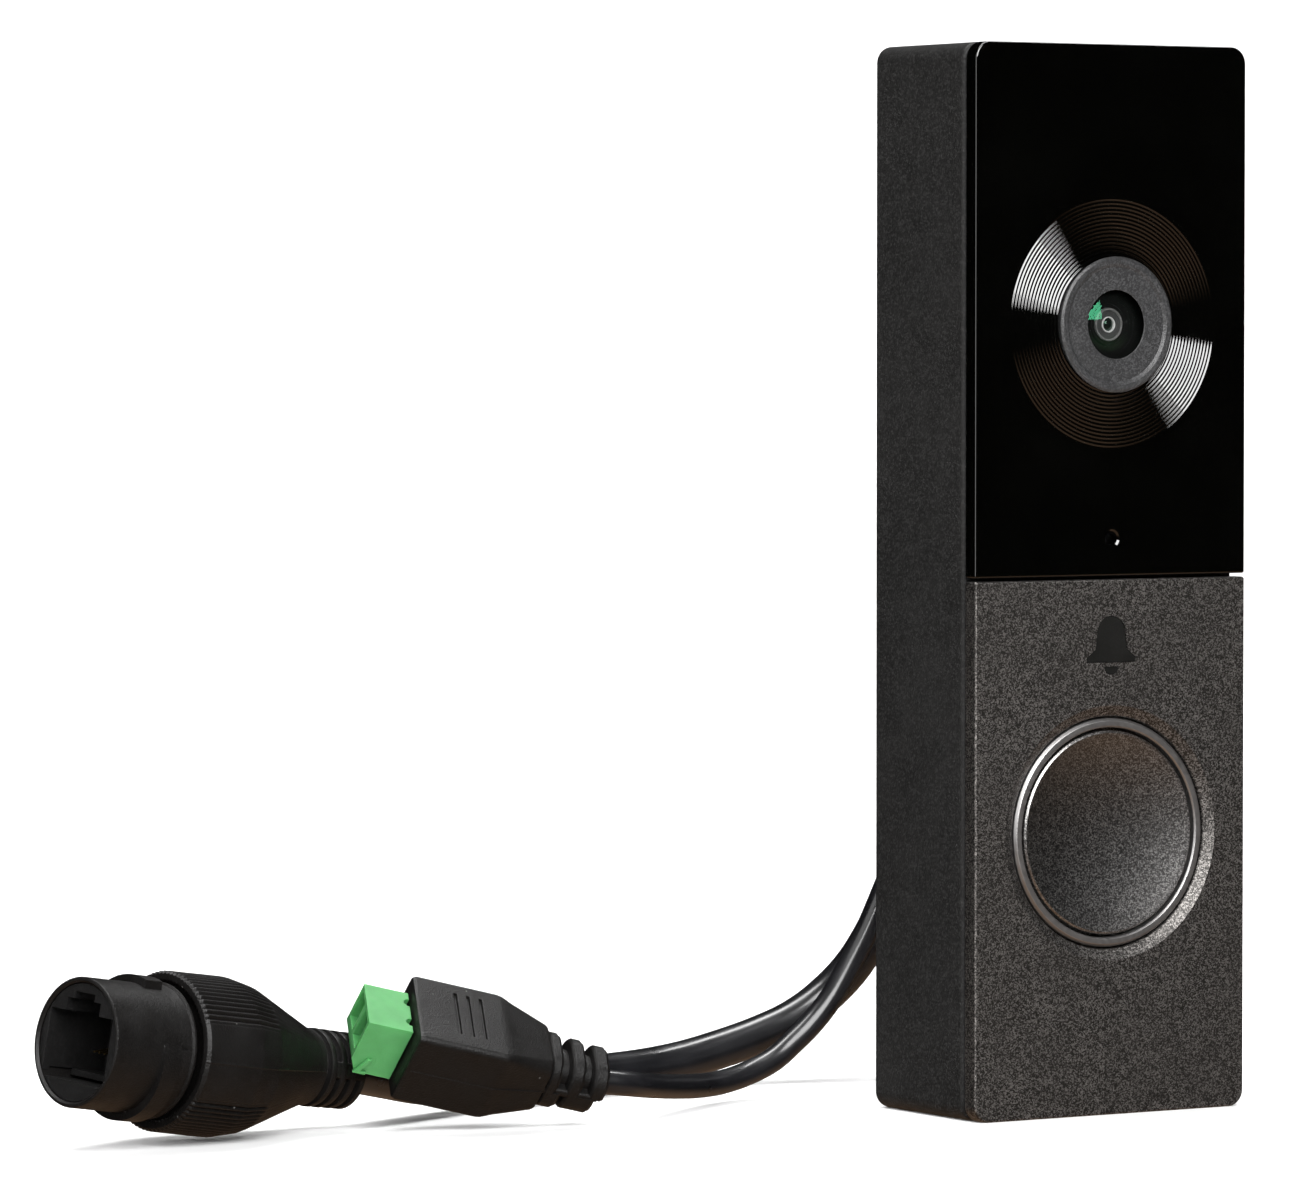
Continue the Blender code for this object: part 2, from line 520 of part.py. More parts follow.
def build_rj45():
    """Waterproof RJ45 coupler: nose shell, jack insert and fluted overmould with strain relief."""
    place = connector_frame(RJ45_NOSE, RJ45_ANGLES)
    shell = ((7.2, 0.0), (8.05, 0.0), (8.05, 7.4), (8.6, 7.9), (8.6, 12.3), (7.2, 12.3))
    turned("rj45_shell", shell, "moulding", place, 28, ring=True)
    jack = disc("rj45_jack", 7.2 - GAP, 0.8, 12.5, "black_plastic", place, 28)
    half = JACK_WIDTH / 2
    low = -JACK_HEIGHT / 2 - 0.7
    socket = ((-half, low), (half, low), (half, low + JACK_HEIGHT), (3.0, low + JACK_HEIGHT),
              (3.0, low + JACK_HEIGHT + 2.4), (-3.0, low + JACK_HEIGHT + 2.4), (-3.0, low + JACK_HEIGHT),
              (-half, low + JACK_HEIGHT))
    cut(jack, prism("cut_socket", socket, -1, JACK_DEPTH, None, place))
    mould = ((0, 12.8), (9.5, 12.8), (9.95, 13.2), (9.95, 22.6), (9.3, 25.2), (7.9, 28.4), (6.1, 32.2),
             (4.95, 35.0), (4.85, 38.0), (4.6, RJ45_TAIL), (0, RJ45_TAIL))
    turned("rj45_overmould", mould, "moulding", place, 28)


def build_terminal():
    """Green two-way terminal block in an overmould with oval strain-relief rings."""
    place = connector_frame(TERMINAL_NOSE, TERMINAL_ANGLES)
    half_x, half_z = BLOCK_WIDTH / 2, BLOCK_HEIGHT / 2
    block = box("terminal_block", (-half_x, half_x), (0, 5.9), (-half_z, half_z), "green_plastic", place)
    chamfer = bmesh.new()
    corners = [(-0.5, -1.1), (1.3, -half_z - 0.4), (-0.5, -half_z - 0.4)]
    low = [chamfer.verts.new(point(-half_x - 1, y, z)) for y, z in corners]
    high = [chamfer.verts.new(point(half_x + 1, y, z)) for y, z in corners]
    chamfer.faces.new(low)
    chamfer.faces.new(high[::-1])
    for index in range(3):
        after = (index + 1) % 3
        chamfer.faces.new((low[index], high[index], high[after], low[after]))
    cut(block, add_object("cut_chamfer", chamfer, None, place))
    for index, x in enumerate((-1.75, 1.75), 1):
        cut(block, box(f"cut_way_{index}", (x - 1.35, x + 1.35), (-1, 4.5), (-1.1, half_z - 0.6), None,
                       place))
    wide, tall = MOULD_WIDTH / 2, MOULD_HEIGHT / 2
    sections = ((6.2, wide - 0.5, tall - 0.5, 9), (6.9, wide, tall, 9), (18.4, wide, tall, 9),
                (25.0, 4.5, 4.1, 3), (26.6, 4.2, 3.9, 3), (32.6, 4.2, 3.9, 3), (TERMINAL_TAIL, 3.6, 3.2, 3))
    mesh = bmesh.new()
    rings = []
    for y, half_width, half_height, power in sections:
        rings.append([mesh.verts.new(point(*oval_point(angle, y, half_width, half_height, power)))
                      for angle in range(0, 360, 15)])
    for before, after in zip(rings, rings[1:]):
        for index in range(len(before)):
            other = (index + 1) % len(before)
            mesh.faces.new((before[index], before[other], after[other], after[index]))
    mesh.faces.new(rings[0])
    mesh.faces.new(rings[-1][::-1])
    add_object("terminal_overmould", mesh, "moulding", place)


def oval_point(degrees, y, half_width, half_height, power):
    """A point of a superellipse across the connector's axis."""
    angle = math.radians(degrees)
    cosine, sine = math.cos(angle), math.sin(angle)
    grow = (abs(cosine) ** power + abs(sine) ** power) ** (-1 / power)
    return half_width * grow * cosine, y, half_height * grow * sine


def build_leads():
    """The two leads, each a smooth tube from the gland's sleeve to its connector."""
    lead("ethernet_cord", ETHERNET_ROUTE, ETHERNET_D, 8.0)
    lead("terminal_cord", TERMINAL_ROUTE, TERMINAL_D, 6.0)


clear_scene()
build_housing()
build_frame()
build_gasket()
build_panels()
build_camera()
build_microphone()
build_button()
build_speaker()
build_boards()
build_gland()
build_bracket()
build_rj45()
build_terminal()
build_leads()
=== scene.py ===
"""Looks of the video doorbell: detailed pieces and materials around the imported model.

Sizes are in millimetres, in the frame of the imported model; MM turns them into metres.
"""
import json
import math

import bmesh
import bpy
from mathutils import Matrix, Vector
from mathutils.geometry import interpolate_bezier

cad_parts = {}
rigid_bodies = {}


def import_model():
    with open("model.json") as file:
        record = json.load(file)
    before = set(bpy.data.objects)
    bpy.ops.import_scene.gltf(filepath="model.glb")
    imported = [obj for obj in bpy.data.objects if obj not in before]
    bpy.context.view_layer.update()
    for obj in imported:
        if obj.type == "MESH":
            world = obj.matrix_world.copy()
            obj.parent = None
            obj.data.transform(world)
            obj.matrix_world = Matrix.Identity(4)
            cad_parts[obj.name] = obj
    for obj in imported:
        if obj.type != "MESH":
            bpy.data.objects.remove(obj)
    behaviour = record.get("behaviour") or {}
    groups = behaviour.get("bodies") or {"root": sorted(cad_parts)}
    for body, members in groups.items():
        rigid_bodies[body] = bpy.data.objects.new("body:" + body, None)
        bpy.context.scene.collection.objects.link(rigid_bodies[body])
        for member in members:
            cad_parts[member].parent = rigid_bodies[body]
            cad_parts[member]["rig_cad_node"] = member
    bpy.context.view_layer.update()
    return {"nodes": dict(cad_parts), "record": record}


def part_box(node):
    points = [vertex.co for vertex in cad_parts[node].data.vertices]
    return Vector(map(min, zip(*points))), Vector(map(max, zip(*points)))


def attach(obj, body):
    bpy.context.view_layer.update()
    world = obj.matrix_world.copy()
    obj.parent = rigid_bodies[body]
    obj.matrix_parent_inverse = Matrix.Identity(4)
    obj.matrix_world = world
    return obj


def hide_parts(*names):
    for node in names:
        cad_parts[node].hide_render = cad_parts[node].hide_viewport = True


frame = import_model()

MM = 0.001
GAP = 0.3                                   # clearance between touching pieces


def span(node):
    """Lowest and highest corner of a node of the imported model, in millimetres."""
    low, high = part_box(node)
    return low / MM, high / MM


# Driving sizes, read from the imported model
HOUSING_LOW, HOUSING_HIGH = span("rear_housing")
GLASS_LOW, GLASS_HIGH = span("front_glass")
PLATE_LOW, PLATE_HIGH = span("faceplate")
HALF = HOUSING_HIGH.x
HEIGHT = HOUSING_HIGH.z
RIM = HOUSING_LOW.y                         # front rim of the housing
REAR = HOUSING_HIGH.y
FRONT = GLASS_LOW.y                         # front face of the panels
PANEL_BACK = GLASS_HIGH.y
LENS_Z = (span("lens_bezel")[0].z + span("lens_bezel")[1].z) / 2
BUTTON_Z = (span("button_ring")[0].z + span("button_ring")[1].z) / 2
MIC_Z = (span("microphone")[0].z + span("microphone")[1].z) / 2
EXIT_Z = (span("cable_gland")[0].z + span("cable_gland")[1].z) / 2

# Details of the body
CORNER = 2.2
WALL = 2.0
LEDGE = 3.4
LEDGE_Y = -3.0
BACK_IN = 8.4
BACK_OUT = 10.2
RECESS_X = 17.0
RECESS_Z = (5.0, 125.0)
BEZEL_R = 8.7                               # flared rim of the lens bezel
BEZEL_NECK = 8.2                            # its neck at the glass
GROOVE_R = 16.05                            # outer radius of the grooved disc
GROOVE_PITCH = 0.5
GROOVE_DEPTH = 0.145
DISH_R = 16.35
RING_R = 14.65
RING_INNER_R = 13.5
CAP_R = 13.1
HOUSING_SCREWS = ((-14.6, 17.5), (14.6, 17.5), (-14.6, 120.5), (14.6, 120.5))
BELL_Z = 60.6
BELL_SIZE = 4.3
BELL_DEPTH = 0.25

# Switching the roles of two axes
SWAP_XY = Matrix(((0, 1, 0, 0), (1, 0, 0, 0), (0, 0, 1, 0), (0, 0, 0, 1)))
SWAP_YZ = Matrix(((1, 0, 0, 0), (0, 0, 1, 0), (0, 1, 0, 0), (0, 0, 0, 1)))

# Leads and connectors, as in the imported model
ETHERNET_X = 4.2
TERMINAL_X = -4.2
ETHERNET_D = 5.2
TERMINAL_D = 3.2
ETHERNET_ROUTE = (
    (4.2, 17.1, 44.0), (4.4, 21.9, 43.7), (4.2, 28.0, 41.4), (3.3, 34.1, 36.6), (1.9, 39.1, 29.6),
    (0.1, 42.4, 22.0), (-3.0, 44.4, 15.6), (-6.9, 46.0, 11.2), (-11.4, 46.9, 8.2), (-16.6, 47.5, 6.2),
    (-22.1, 47.5, 4.8), (-28.6, 47.0, 3.6), (-35.5, 45.8, 3.0), (-43.4, 43.5, 2.9), (-52.3, 40.6, 2.9),
    (-61.1, 37.5, 2.9), (-69.5, 36.1, 3.2), (-76.9, 33.3, 4.2), (-83.6, 30.6, 5.6), (-90.50, 28.13, 7.09))
TERMINAL_ROUTE = (
    (-4.2, 17.1, 44.0), (-4.0, 20.5, 43.6), (-4.5, 23.8, 41.2), (-5.7, 26.0, 37.0), (-7.4, 27.3, 31.5),
    (-9.5, 27.8, 26.4), (-11.7, 28.2, 21.6), (-14.1, 28.6, 17.2), (-16.8, 28.9, 12.9), (-19.6, 29.3, 9.6),
    (-22.5, 29.6, 7.1), (-25.5, 29.6, 5.0), (-29.9, 28.9, 3.5), (-35.1, 26.9, 2.8), (-40.9, 23.7, 2.9),
    (-47.2, 19.8, 3.5), (-53.3, 15.8, 4.3), (-57.9, 13.3, 5.0), (-61.57, 13.49, 5.47))
RJ45_NOSE = (-133.3, 19.3, 13.7)
RJ45_ANGLES = (11.7, -8.6, 4.0)
TERMINAL_NOSE = (-93.5, 20.5, 13.5)
TERMINAL_ANGLES = (-12.4, -13.8, 38.5)


# ---------------------------------------------------------------- geometry helpers

def mm(x, y, z):
    """A point in metres from millimetres."""
    return Vector((x, y, z)) * MM


def at(x, y, z):
    """A placement from a point in millimetres."""
    return Matrix.Translation(mm(x, y, z))


LOCK_PLACE = at(0, 8.4, 0) @ Matrix.Rotation(math.radians(90), 4, "X")     # the locking screw points up


def connector_frame(nose, angles):
    """Frame with +Y from nose to tail: azimuth, tilt and roll are in degrees."""
    azimuth, tilt, roll = (math.radians(angle) for angle in angles)
    turn = Matrix.Rotation(azimuth - math.pi / 2, 4, "Z") @ Matrix.Rotation(tilt, 4, "X")
    return at(*nose) @ turn @ Matrix.Rotation(roll, 4, "Y")


def add_object(name, mesh, place=None):
    """Link a bmesh as an object, with its place baked into the mesh."""
    if place is not None:
        mesh.transform(place)
    bmesh.ops.recalc_face_normals(mesh, faces=mesh.faces)
    data = bpy.data.meshes.new(name)
    mesh.to_mesh(data)
    mesh.free()
    made = bpy.data.objects.new(name, data)
    bpy.context.scene.collection.objects.link(made)
    return made


def settle(piece):
    """Apply a piece's modifiers."""
    bpy.context.view_layer.update()
    graph = bpy.context.evaluated_depsgraph_get()
    data = bpy.data.meshes.new_from_object(piece.evaluated_get(graph))
    piece.modifiers.clear()
    piece.data = data


def carve(piece, *cutters, mode="DIFFERENCE"):
    """Cut the cutters out of a piece, or join them to it, and remove them."""
    for cutter in cutters:
        change = piece.modifiers.new(cutter.name, "BOOLEAN")
        change.operation = mode
        change.solver = "EXACT"
        change.object = cutter
    settle(piece)
    for cutter in cutters:
        bpy.data.objects.remove(cutter, do_unlink=True)


def soften(piece, width, segments=3, angle=35):
    """Round a piece's sharp edges."""
    rounding = piece.modifiers.new("rounding", "BEVEL")
    rounding.width = width * MM
    rounding.segments = segments
    rounding.limit_method = "ANGLE"
    rounding.angle_limit = math.radians(angle)
    rounding.harden_normals = False
    settle(piece)


def dress(piece, look, body="body", replaces=(), angle=32, place=None):
    """Place and shade a piece, give it its material, and say what it rides on and stands for."""
    if place is not None:
        piece.data.transform(place)
    if piece.type == "MESH":
        piece.data.shade_smooth()
        piece.data.set_sharp_from_angle(angle=math.radians(angle))
        flatten = piece.modifiers.new("even_normals", "WEIGHTED_NORMAL")
        flatten.keep_sharp = True
        flatten.weight = 100
    piece.data.materials.clear()
    piece.data.materials.append(look)
    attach(piece, body)
    if replaces:
        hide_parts(*replaces)
    return piece


def prism(name, outline, low, high, place=None):
    """Extrude an outline of (x, z) points from y = low to y = high."""
    mesh = bmesh.new()
    face = mesh.faces.new([mesh.verts.new(mm(x, low, z)) for x, z in outline])
    grown = bmesh.ops.extrude_face_region(mesh, geom=[face])["geom"]
    moved = [item for item in grown if isinstance(item, bmesh.types.BMVert)]
    bmesh.ops.translate(mesh, verts=moved, vec=mm(0, high - low, 0))
    return add_object(name, mesh, place)


def block(name, xs, ys, zs, place=None):
    """A box from its x, y and z ranges."""
    outline = ((xs[0], zs[0]), (xs[1], zs[0]), (xs[1], zs[1]), (xs[0], zs[1]))
    return prism(name, outline, ys[0], ys[1], place)


def rounded_outline(xs, zs, radii, steps=8):
    """Rectangle whose corners, from low x and low z counterclockwise, have the given radii."""
    corners = ((xs[0], zs[0], 180), (xs[1], zs[0], 270), (xs[1], zs[1], 0), (xs[0], zs[1], 90))
    outline = []
    for (x, z, start), radius in zip(corners, radii):
        centre_x = x + radius * (1 if x == xs[0] else -1)
        centre_z = z + radius * (1 if z == zs[0] else -1)
        for step in range(steps + 1):
            angle = math.radians(start + 90 * step / steps)
            outline.append((centre_x + radius * math.cos(angle), centre_z + radius * math.sin(angle)))
    return outline


def filleted(corners, closed, steps=4):
    """Turn (a, b, radius) corners into a profile: a corner with a radius becomes an arc."""
    points = []
    for index, corner in enumerate(corners):
        here = Vector(corner[:2])
        radius = corner[2] if len(corner) > 2 else 0
        if not radius or (not closed and index in (0, len(corners) - 1)):
            points.append(here)
            continue
        before = (Vector(corners[index - 1][:2]) - here).normalized()
        after = (Vector(corners[(index + 1) % len(corners)][:2]) - here).normalized()
        half = before.angle(after) / 2
        centre = here + (before + after).normalized() * (radius / math.sin(half))
        start = here + before * (radius / math.tan(half)) - centre
        end = here + after * (radius / math.tan(half)) - centre
        first = math.atan2(start.y, start.x)
        sweep = (math.atan2(end.y, end.x) - first + math.pi) % (2 * math.pi) - math.pi
        for step in range(steps + 1):
            angle = first + sweep * step / steps
            points.append(centre + Vector((math.cos(angle), math.sin(angle))) * radius)
    return points


def turned(name, corners, place=None, steps=96, ring=False, arc_steps=4):
    """Turn (radius, y, fillet) corners about Y: a ring's profile is closed, a solid's ends on the axis."""
    mesh = bmesh.new()
    verts = [mesh.verts.new(mm(radius, y, 0)) for radius, y in filleted(corners, ring, arc_steps)]
    ends = verts[1:] + verts[:1] if ring else verts[1:]
    edges = [mesh.edges.new(pair) for pair in zip(verts, ends)]
    bmesh.ops.spin(mesh, geom=verts + edges, cent=(0, 0, 0), axis=(0, 1, 0), angle=2 * math.pi,
                   steps=steps, use_merge=True)
    bmesh.ops.remove_doubles(mesh, verts=mesh.verts, dist=1e-6)
    return add_object(name, mesh, place)


def loft(name, rings, place=None, closed=False):
    """Skin rings of (x, y, z) points: capped at both ends, or closed on itself."""
    mesh = bmesh.new()
    made = [[mesh.verts.new(mm(*spot)) for spot in ring] for ring in rings]
    pairs = list(zip(made, made[1:] + made[:1])) if closed else list(zip(made, made[1:]))
    for before, after in pairs:
        for index in range(len(before)):
            other = (index + 1) % len(before)
            mesh.faces.new((before[index], before[other], after[other], after[index]))
    if not closed:
        mesh.faces.new(made[0])
        mesh.faces.new(made[-1][::-1])
    return add_object(name, mesh, place)


def smooth_path(route, piece):
    """Points at most `piece` millimetres apart on a smooth curve through the route's points."""
    nodes = [Vector(node) for node in route]
    tangents = [nodes[1] - nodes[0]]
    for before, after in zip(nodes, nodes[2:]):
        tangents.append((after - before) / 2)
    tangents.append(nodes[-1] - nodes[-2])
    path = [nodes[0]]
    for index, (start, end) in enumerate(zip(nodes, nodes[1:])):
        handles = (start + tangents[index] / 3, end - tangents[index + 1] / 3)
        count = max(1, math.ceil((end - start).length / piece))
        path += interpolate_bezier(start, handles[0], handles[1], end, count + 1)[1:]
    return path


# ---------------------------------------------------------------- materials

class Look:
    """A Principled material whose colour, roughness and bump come from procedural nodes."""

    def __init__(self, name, colour, roughness, metallic=0.0, **sockets):
        self.material = bpy.data.materials.new(name)
        self.material.use_nodes = True
        tree = self.material.node_tree
        self.nodes, self.links = tree.nodes, tree.links
        self.shader = self.nodes["Principled BSDF"]
        self.base = (*colour, 1.0)
        self.put("Base Color", self.base)
        self.put("Roughness", roughness)
        self.put("Metallic", metallic)
        for socket, value in sockets.items():
            self.put(socket.replace("_", " ").title().replace("Ior", "IOR"), value)
        self.where = self.nodes.new("ShaderNodeTexCoord").outputs["Object"]
        self.normal = None

    def put(self, socket, value):
        """Set or link one of the shader's inputs."""
        if isinstance(value, bpy.types.NodeSocket):
            self.links.new(value, self.shader.inputs[socket])
        else:
            self.shader.inputs[socket].default_value = value

    def add(self, kind, inputs, **settings):
        """Add a node with its inputs and settings."""
        node = self.nodes.new("ShaderNode" + kind)
        for key, value in settings.items():
            setattr(node, key, value)
        for key, value in inputs.items():
            if isinstance(value, bpy.types.NodeSocket):
                self.links.new(value, node.inputs[key])
            else:
                node.inputs[key].default_value = value
        return node

    def noise(self, size, detail=2.0, stretch=(1, 1, 1), roughness=0.5):
        """Noise with features about `size` millimetres across."""
        scale = [1 / (size * MM * part) for part in stretch]
        place = self.add("Mapping", {"Vector": self.where, "Scale": scale})
        inputs = {"Vector": place.outputs[0], "Scale": 1.0, "Detail": detail, "Roughness": roughness}
        return self.add("TexNoise", inputs).outputs["Fac"]

    def cells(self, size, output="Distance", stretch=(1, 1, 1)):
        """Voronoi cells about `size` millimetres across."""
        scale = [1 / (size * MM * part) for part in stretch]
        place = self.add("Mapping", {"Vector": self.where, "Scale": scale})
        return self.add("TexVoronoi", {"Vector": place.outputs[0], "Scale": 1.0}).outputs[output]

    def limit(self, value, low, high, to_low=0.0, to_high=1.0):
        """Map a value's range to another, held at both ends."""
        inputs = {"Value": value, "From Min": low, "From Max": high, "To Min": to_low, "To Max": to_high}
        return self.add("MapRange", inputs).outputs["Result"]

    def mix(self, factor, first, second):
        """Mix two colours by a factor."""
        node = self.add("Mix", {}, data_type="RGBA")
        for index, value in ((0, factor), (6, first), (7, second)):
            if isinstance(value, bpy.types.NodeSocket):
                self.links.new(value, node.inputs[index])
            else:
                node.inputs[index].default_value = value if index == 0 else (*value[:3], 1.0)
        return node.outputs[2]

    def shaded(self, share):
        """The base colour, darker or lighter."""
        return tuple(min(1.0, part * share) for part in self.base[:3])

    def vary(self, value, low, high, share_low, share_high):
        """Vary the base colour between two shares of it as a value runs from low to high."""
        return self.mix(self.limit(value, low, high), self.shaded(share_low), self.shaded(share_high))

    def bump(self, height, depth, strength=1.0):
        """Add a bump that is `depth` millimetres deep."""
        inputs = {"Height": height, "Strength": strength, "Distance": depth * MM}
        if self.normal:
            inputs["Normal"] = self.normal
        self.normal = self.add("Bump", inputs).outputs["Normal"]
        self.put("Normal", self.normal)


def moulded(name, colour, roughness, grain=0.28, depth=0.02, dust=0.0, grit=0.35, **sockets):
    """Moulded plastic or rubber: spark-eroded grain, cloudy tone and, if asked, bright dust specks."""
    look = Look(name, colour, roughness, **sockets)
    cloud = look.noise(14, 3)
    fine = look.noise(grain, 2)
    pits = look.add("SeparateColor", {"Color": look.cells(grain, "Color")}).outputs[0]
    tone = look.vary(cloud, 0.35, 0.65, 0.86, 1.14)
    tone = look.mix(look.limit(pits, 0.5, 1.0, 0.0, grit), tone, look.shaded(2.4))
    if dust:
        speck = look.limit(look.cells(2.6), 0.0, 0.05, dust, 0.0)
        tone = look.mix(speck, tone, (0.55, 0.54, 0.52))
    look.put("Base Color", tone)
    look.put("Roughness", look.limit(look.noise(3.5, 3), 0.3, 0.7, roughness - 0.06, roughness + 0.08))
    look.bump(fine, depth)
    return look.material


def black_glass():
    """Black glass, polished, with faint smudges."""
    look = Look("black_glass", (0.0005, 0.0005, 0.0004), 0.03, ior=1.75)
    smudge = look.noise(9, 4)
    look.put("Base Color", look.vary(smudge, 0.4, 0.7, 0.8, 1.3))
    look.put("Roughness", look.limit(smudge, 0.45, 0.75, 0.02, 0.09))
    look.bump(look.noise(30, 1), 0.01, 0.2)
    return look.material


def grained_metal(name, colour, roughness, grain, depth, metallic, flecks):
    """Metallic coating with a fine, sparkling grain."""
    look = Look(name, colour, roughness, metallic)
    flake = look.cells(grain, "Color")
    level = look.add("SeparateColor", {"Color": flake}).outputs[0]
    tone = look.vary(level, 0.4, 1.0, *flecks)
    tone = look.mix(look.limit(look.noise(11, 3), 0.35, 0.65, 0.0, 0.25), tone, look.shaded(0.8))
    look.put("Base Color", tone)
    look.put("Roughness", look.limit(level, 0.0, 1.0, roughness - 0.07, roughness + 0.07))
    look.bump(look.noise(grain * 1.3, 2), depth)
    return look.material


def polished_metal():
    """Satin metal ring with fine turning marks."""
    look = Look("polished_metal", (0.50, 0.49, 0.485), 0.42, 1.0)
    marks = look.noise(0.6, 3)
    look.put("Base Color", look.vary(look.noise(6, 3), 0.3, 0.7, 0.9, 1.08))
    look.put("Roughness", look.limit(marks, 0.3, 0.7, 0.38, 0.45))
    look.bump(marks, 0.004)
    return look.material


def coated_steel():
    """Zinc-coated steel with a soft spangle."""
    look = Look("coated_steel", (0.34, 0.34, 0.35), 0.34, 0.55)
    spangle = look.add("SeparateColor", {"Color": look.cells(4.5, "Color")}).outputs[0]
    look.put("Base Color", look.vary(spangle, 0.0, 1.0, 0.78, 1.12))
    look.put("Roughness", look.limit(look.noise(1.5, 3), 0.3, 0.7, 0.26, 0.42))
    look.bump(look.noise(0.5, 3, (12, 1, 1)), 0.006)
    return look.material


def cable_sheath():
    """Semi-gloss cable sheath with faint drawing marks and cloudy sheen."""
    look = Look("cable_sheath", (0.005, 0.005, 0.006), 0.27, coat_weight=0.4, coat_roughness=0.1)
    cloud = look.noise(7, 3)
    look.put("Base Color", look.vary(cloud, 0.35, 0.65, 0.8, 1.3))
    look.put("Roughness", look.limit(cloud, 0.3, 0.7, 0.25, 0.38))
    look.bump(look.noise(3.0, 2), 0.06, 0.5)
    look.bump(look.noise(0.35, 2), 0.006, 0.6)
    return look.material


def green_plastic():
    """Light green, slightly translucent plastic."""
    look = Look("green_plastic", (0.053, 0.218, 0.067), 0.4, subsurface_weight=0.25, subsurface_scale=0.002)
    look.put("Subsurface Radius", (0.5, 1.0, 0.4))
    cloud = look.noise(2.5, 3)
    look.put("Base Color", look.vary(cloud, 0.3, 0.7, 0.92, 1.08))
    look.put("Roughness", look.limit(look.noise(0.8, 2), 0.3, 0.7, 0.32, 0.46))
    look.bump(look.noise(0.3, 2), 0.008)
    return look.material


def clear_window():
    """Coated dome glass in front of the lens: dark, see-through, with green reflections."""
    look = Look("clear_window", (0.002, 0.003, 0.0025), 0.03, ior=1.8, alpha=0.25)
    look.put("Specular Tint", (0.16, 1.0, 0.50, 1.0))
    look.put("Roughness", look.limit(look.noise(4, 3), 0.4, 0.7, 0.02, 0.05))
    look.material.surface_render_method = "BLENDED"
    return look.material


def lens_glass():
    """Dark lens glass with a green coating."""
    look = Look("lens_glass", (0.012, 0.016, 0.014), 0.04, ior=1.7)
    look.put("Specular Tint", (0.55, 1.0, 0.75, 1.0))
    look.put("Base Color", look.vary(look.noise(1.5, 2), 0.3, 0.7, 0.8, 1.3))
    return look.material


def circuit_board():
    """Green solder mask with pads and tracks."""
    look = Look("circuit_board", (0.006, 0.055, 0.022), 0.32)
    tracks = look.add("TexBrick", {"Vector": look.where, "Scale": 260.0, "Mortar Size": 0.035})
    pads = look.limit(look.cells(1.9), 0.0, 0.3, 0.7, 0.0)
    tone = look.mix(tracks.outputs["Fac"], look.shaded(1.0), look.shaded(2.0))
    look.put("Base Color", look.mix(pads, tone, (0.55, 0.50, 0.36)))
    look.bump(tracks.outputs["Fac"], 0.03)
    return look.material


def led_resin():
    """Clear resin with a pale phosphor tint."""
    look = Look("led_resin", (0.80, 0.79, 0.70), 0.12, coat_weight=0.5)
    look.put("Base Color", look.vary(look.noise(0.8, 2), 0.3, 0.7, 0.85, 1.1))
    look.bump(look.noise(0.5, 2), 0.01)
    return look.material


def contact_gold():
    """Thin gold plating on the jack's contacts, a little uneven."""
    look = Look("contact_gold", (0.12, 0.085, 0.035), 0.4, 1.0)
    look.put("Base Color", look.vary(look.noise(0.5, 2), 0.3, 0.7, 0.9, 1.1))
    return look.material


def open_foam():
    """Open-cell foam."""
    look = Look("open_foam", (0.028, 0.028, 0.030), 0.9)
    pores = look.cells(0.5)
    # painted shade: the pores' hollows, where the bump sinks, are darker and the rims between them lighter
    look.put("Base Color", look.vary(pores, 0.1, 0.6, 0.4, 1.6))
    look.bump(pores, 0.15)
    return look.material


LOOKS = {
    "housing": moulded("housing_plastic", (0.0092, 0.0090, 0.0088), 0.5, 0.26, 0.04, grit=0.8,
                       specular_ior_level=0.22),
    "black_plastic": moulded("black_plastic", (0.0062, 0.0060, 0.0060), 0.42, 0.24, 0.02,
                             specular_ior_level=0.3),
    "rubber": moulded("black_rubber", (0.007, 0.007, 0.007), 0.6, 0.25, 0.015, specular_ior_level=0.3),
    "moulding": moulded("cable_moulding", (0.0032, 0.0028, 0.0026), 0.46, 0.22, 0.06, dust=0.4,
                        specular_ior_level=0.3),
    "bezel": moulded("bezel_plastic", (0.0175, 0.0175, 0.018), 0.40, 0.17, 0.05, grit=1.6),
    "component": moulded("component_epoxy", (0.012, 0.012, 0.013), 0.45, 0.15, 0.008),
    "white_plastic": moulded("natural_plastic", (0.40, 0.385, 0.35), 0.42, 0.3, 0.008),
    "sign": moulded("sign_inlay", (0.005, 0.005, 0.0045), 0.45, 0.15, 0.006, specular_ior_level=0.2),
    "glass": black_glass(),
    "faceplate": grained_metal("faceplate_coating", (0.131, 0.124, 0.118), 0.46, 0.15, 0.02, 0.97,
                                (0.42, 2.7)),
    "cap": grained_metal("cap_coating", (0.31, 0.302, 0.295), 0.35, 0.13, 0.008, 1.0, (0.7, 2.0)),
    "ring": polished_metal(),
    "steel": coated_steel(),
    "cable": cable_sheath(),
    "green_plastic": green_plastic(),
    "lens_ring": moulded("lens_ring_coating", (0.20, 0.20, 0.195), 0.35, 0.1, 0.002, grit=0.05),
    # the iris ring's near-white colour is a painted highlight, standing in for the bright reflection ring
    # inside the lens
    "iris_ring": moulded("iris_ring_painted_highlight", (0.88, 0.88, 0.86), 0.35, 0.1, 0.002, grit=0.05),
    "lens_face": moulded("lens_face_coating", (0.060, 0.061, 0.060), 0.4, 0.1, 0.003),
    "window": clear_window(),
    "lens": lens_glass(),
    "board": circuit_board(),
    "led": led_resin(),
    "foam": open_foam(),
    "gold": contact_gold(),
}


# ---------------------------------------------------------------- camera, stage and light

CAMERA_YAW = -31.7
CAMERA_RISE = 2.05
CAMERA_TARGET = (-69.4, -10.7, 68.3)
CAMERA_DISTANCE = 890.0
CAMERA_LENS = 200.6


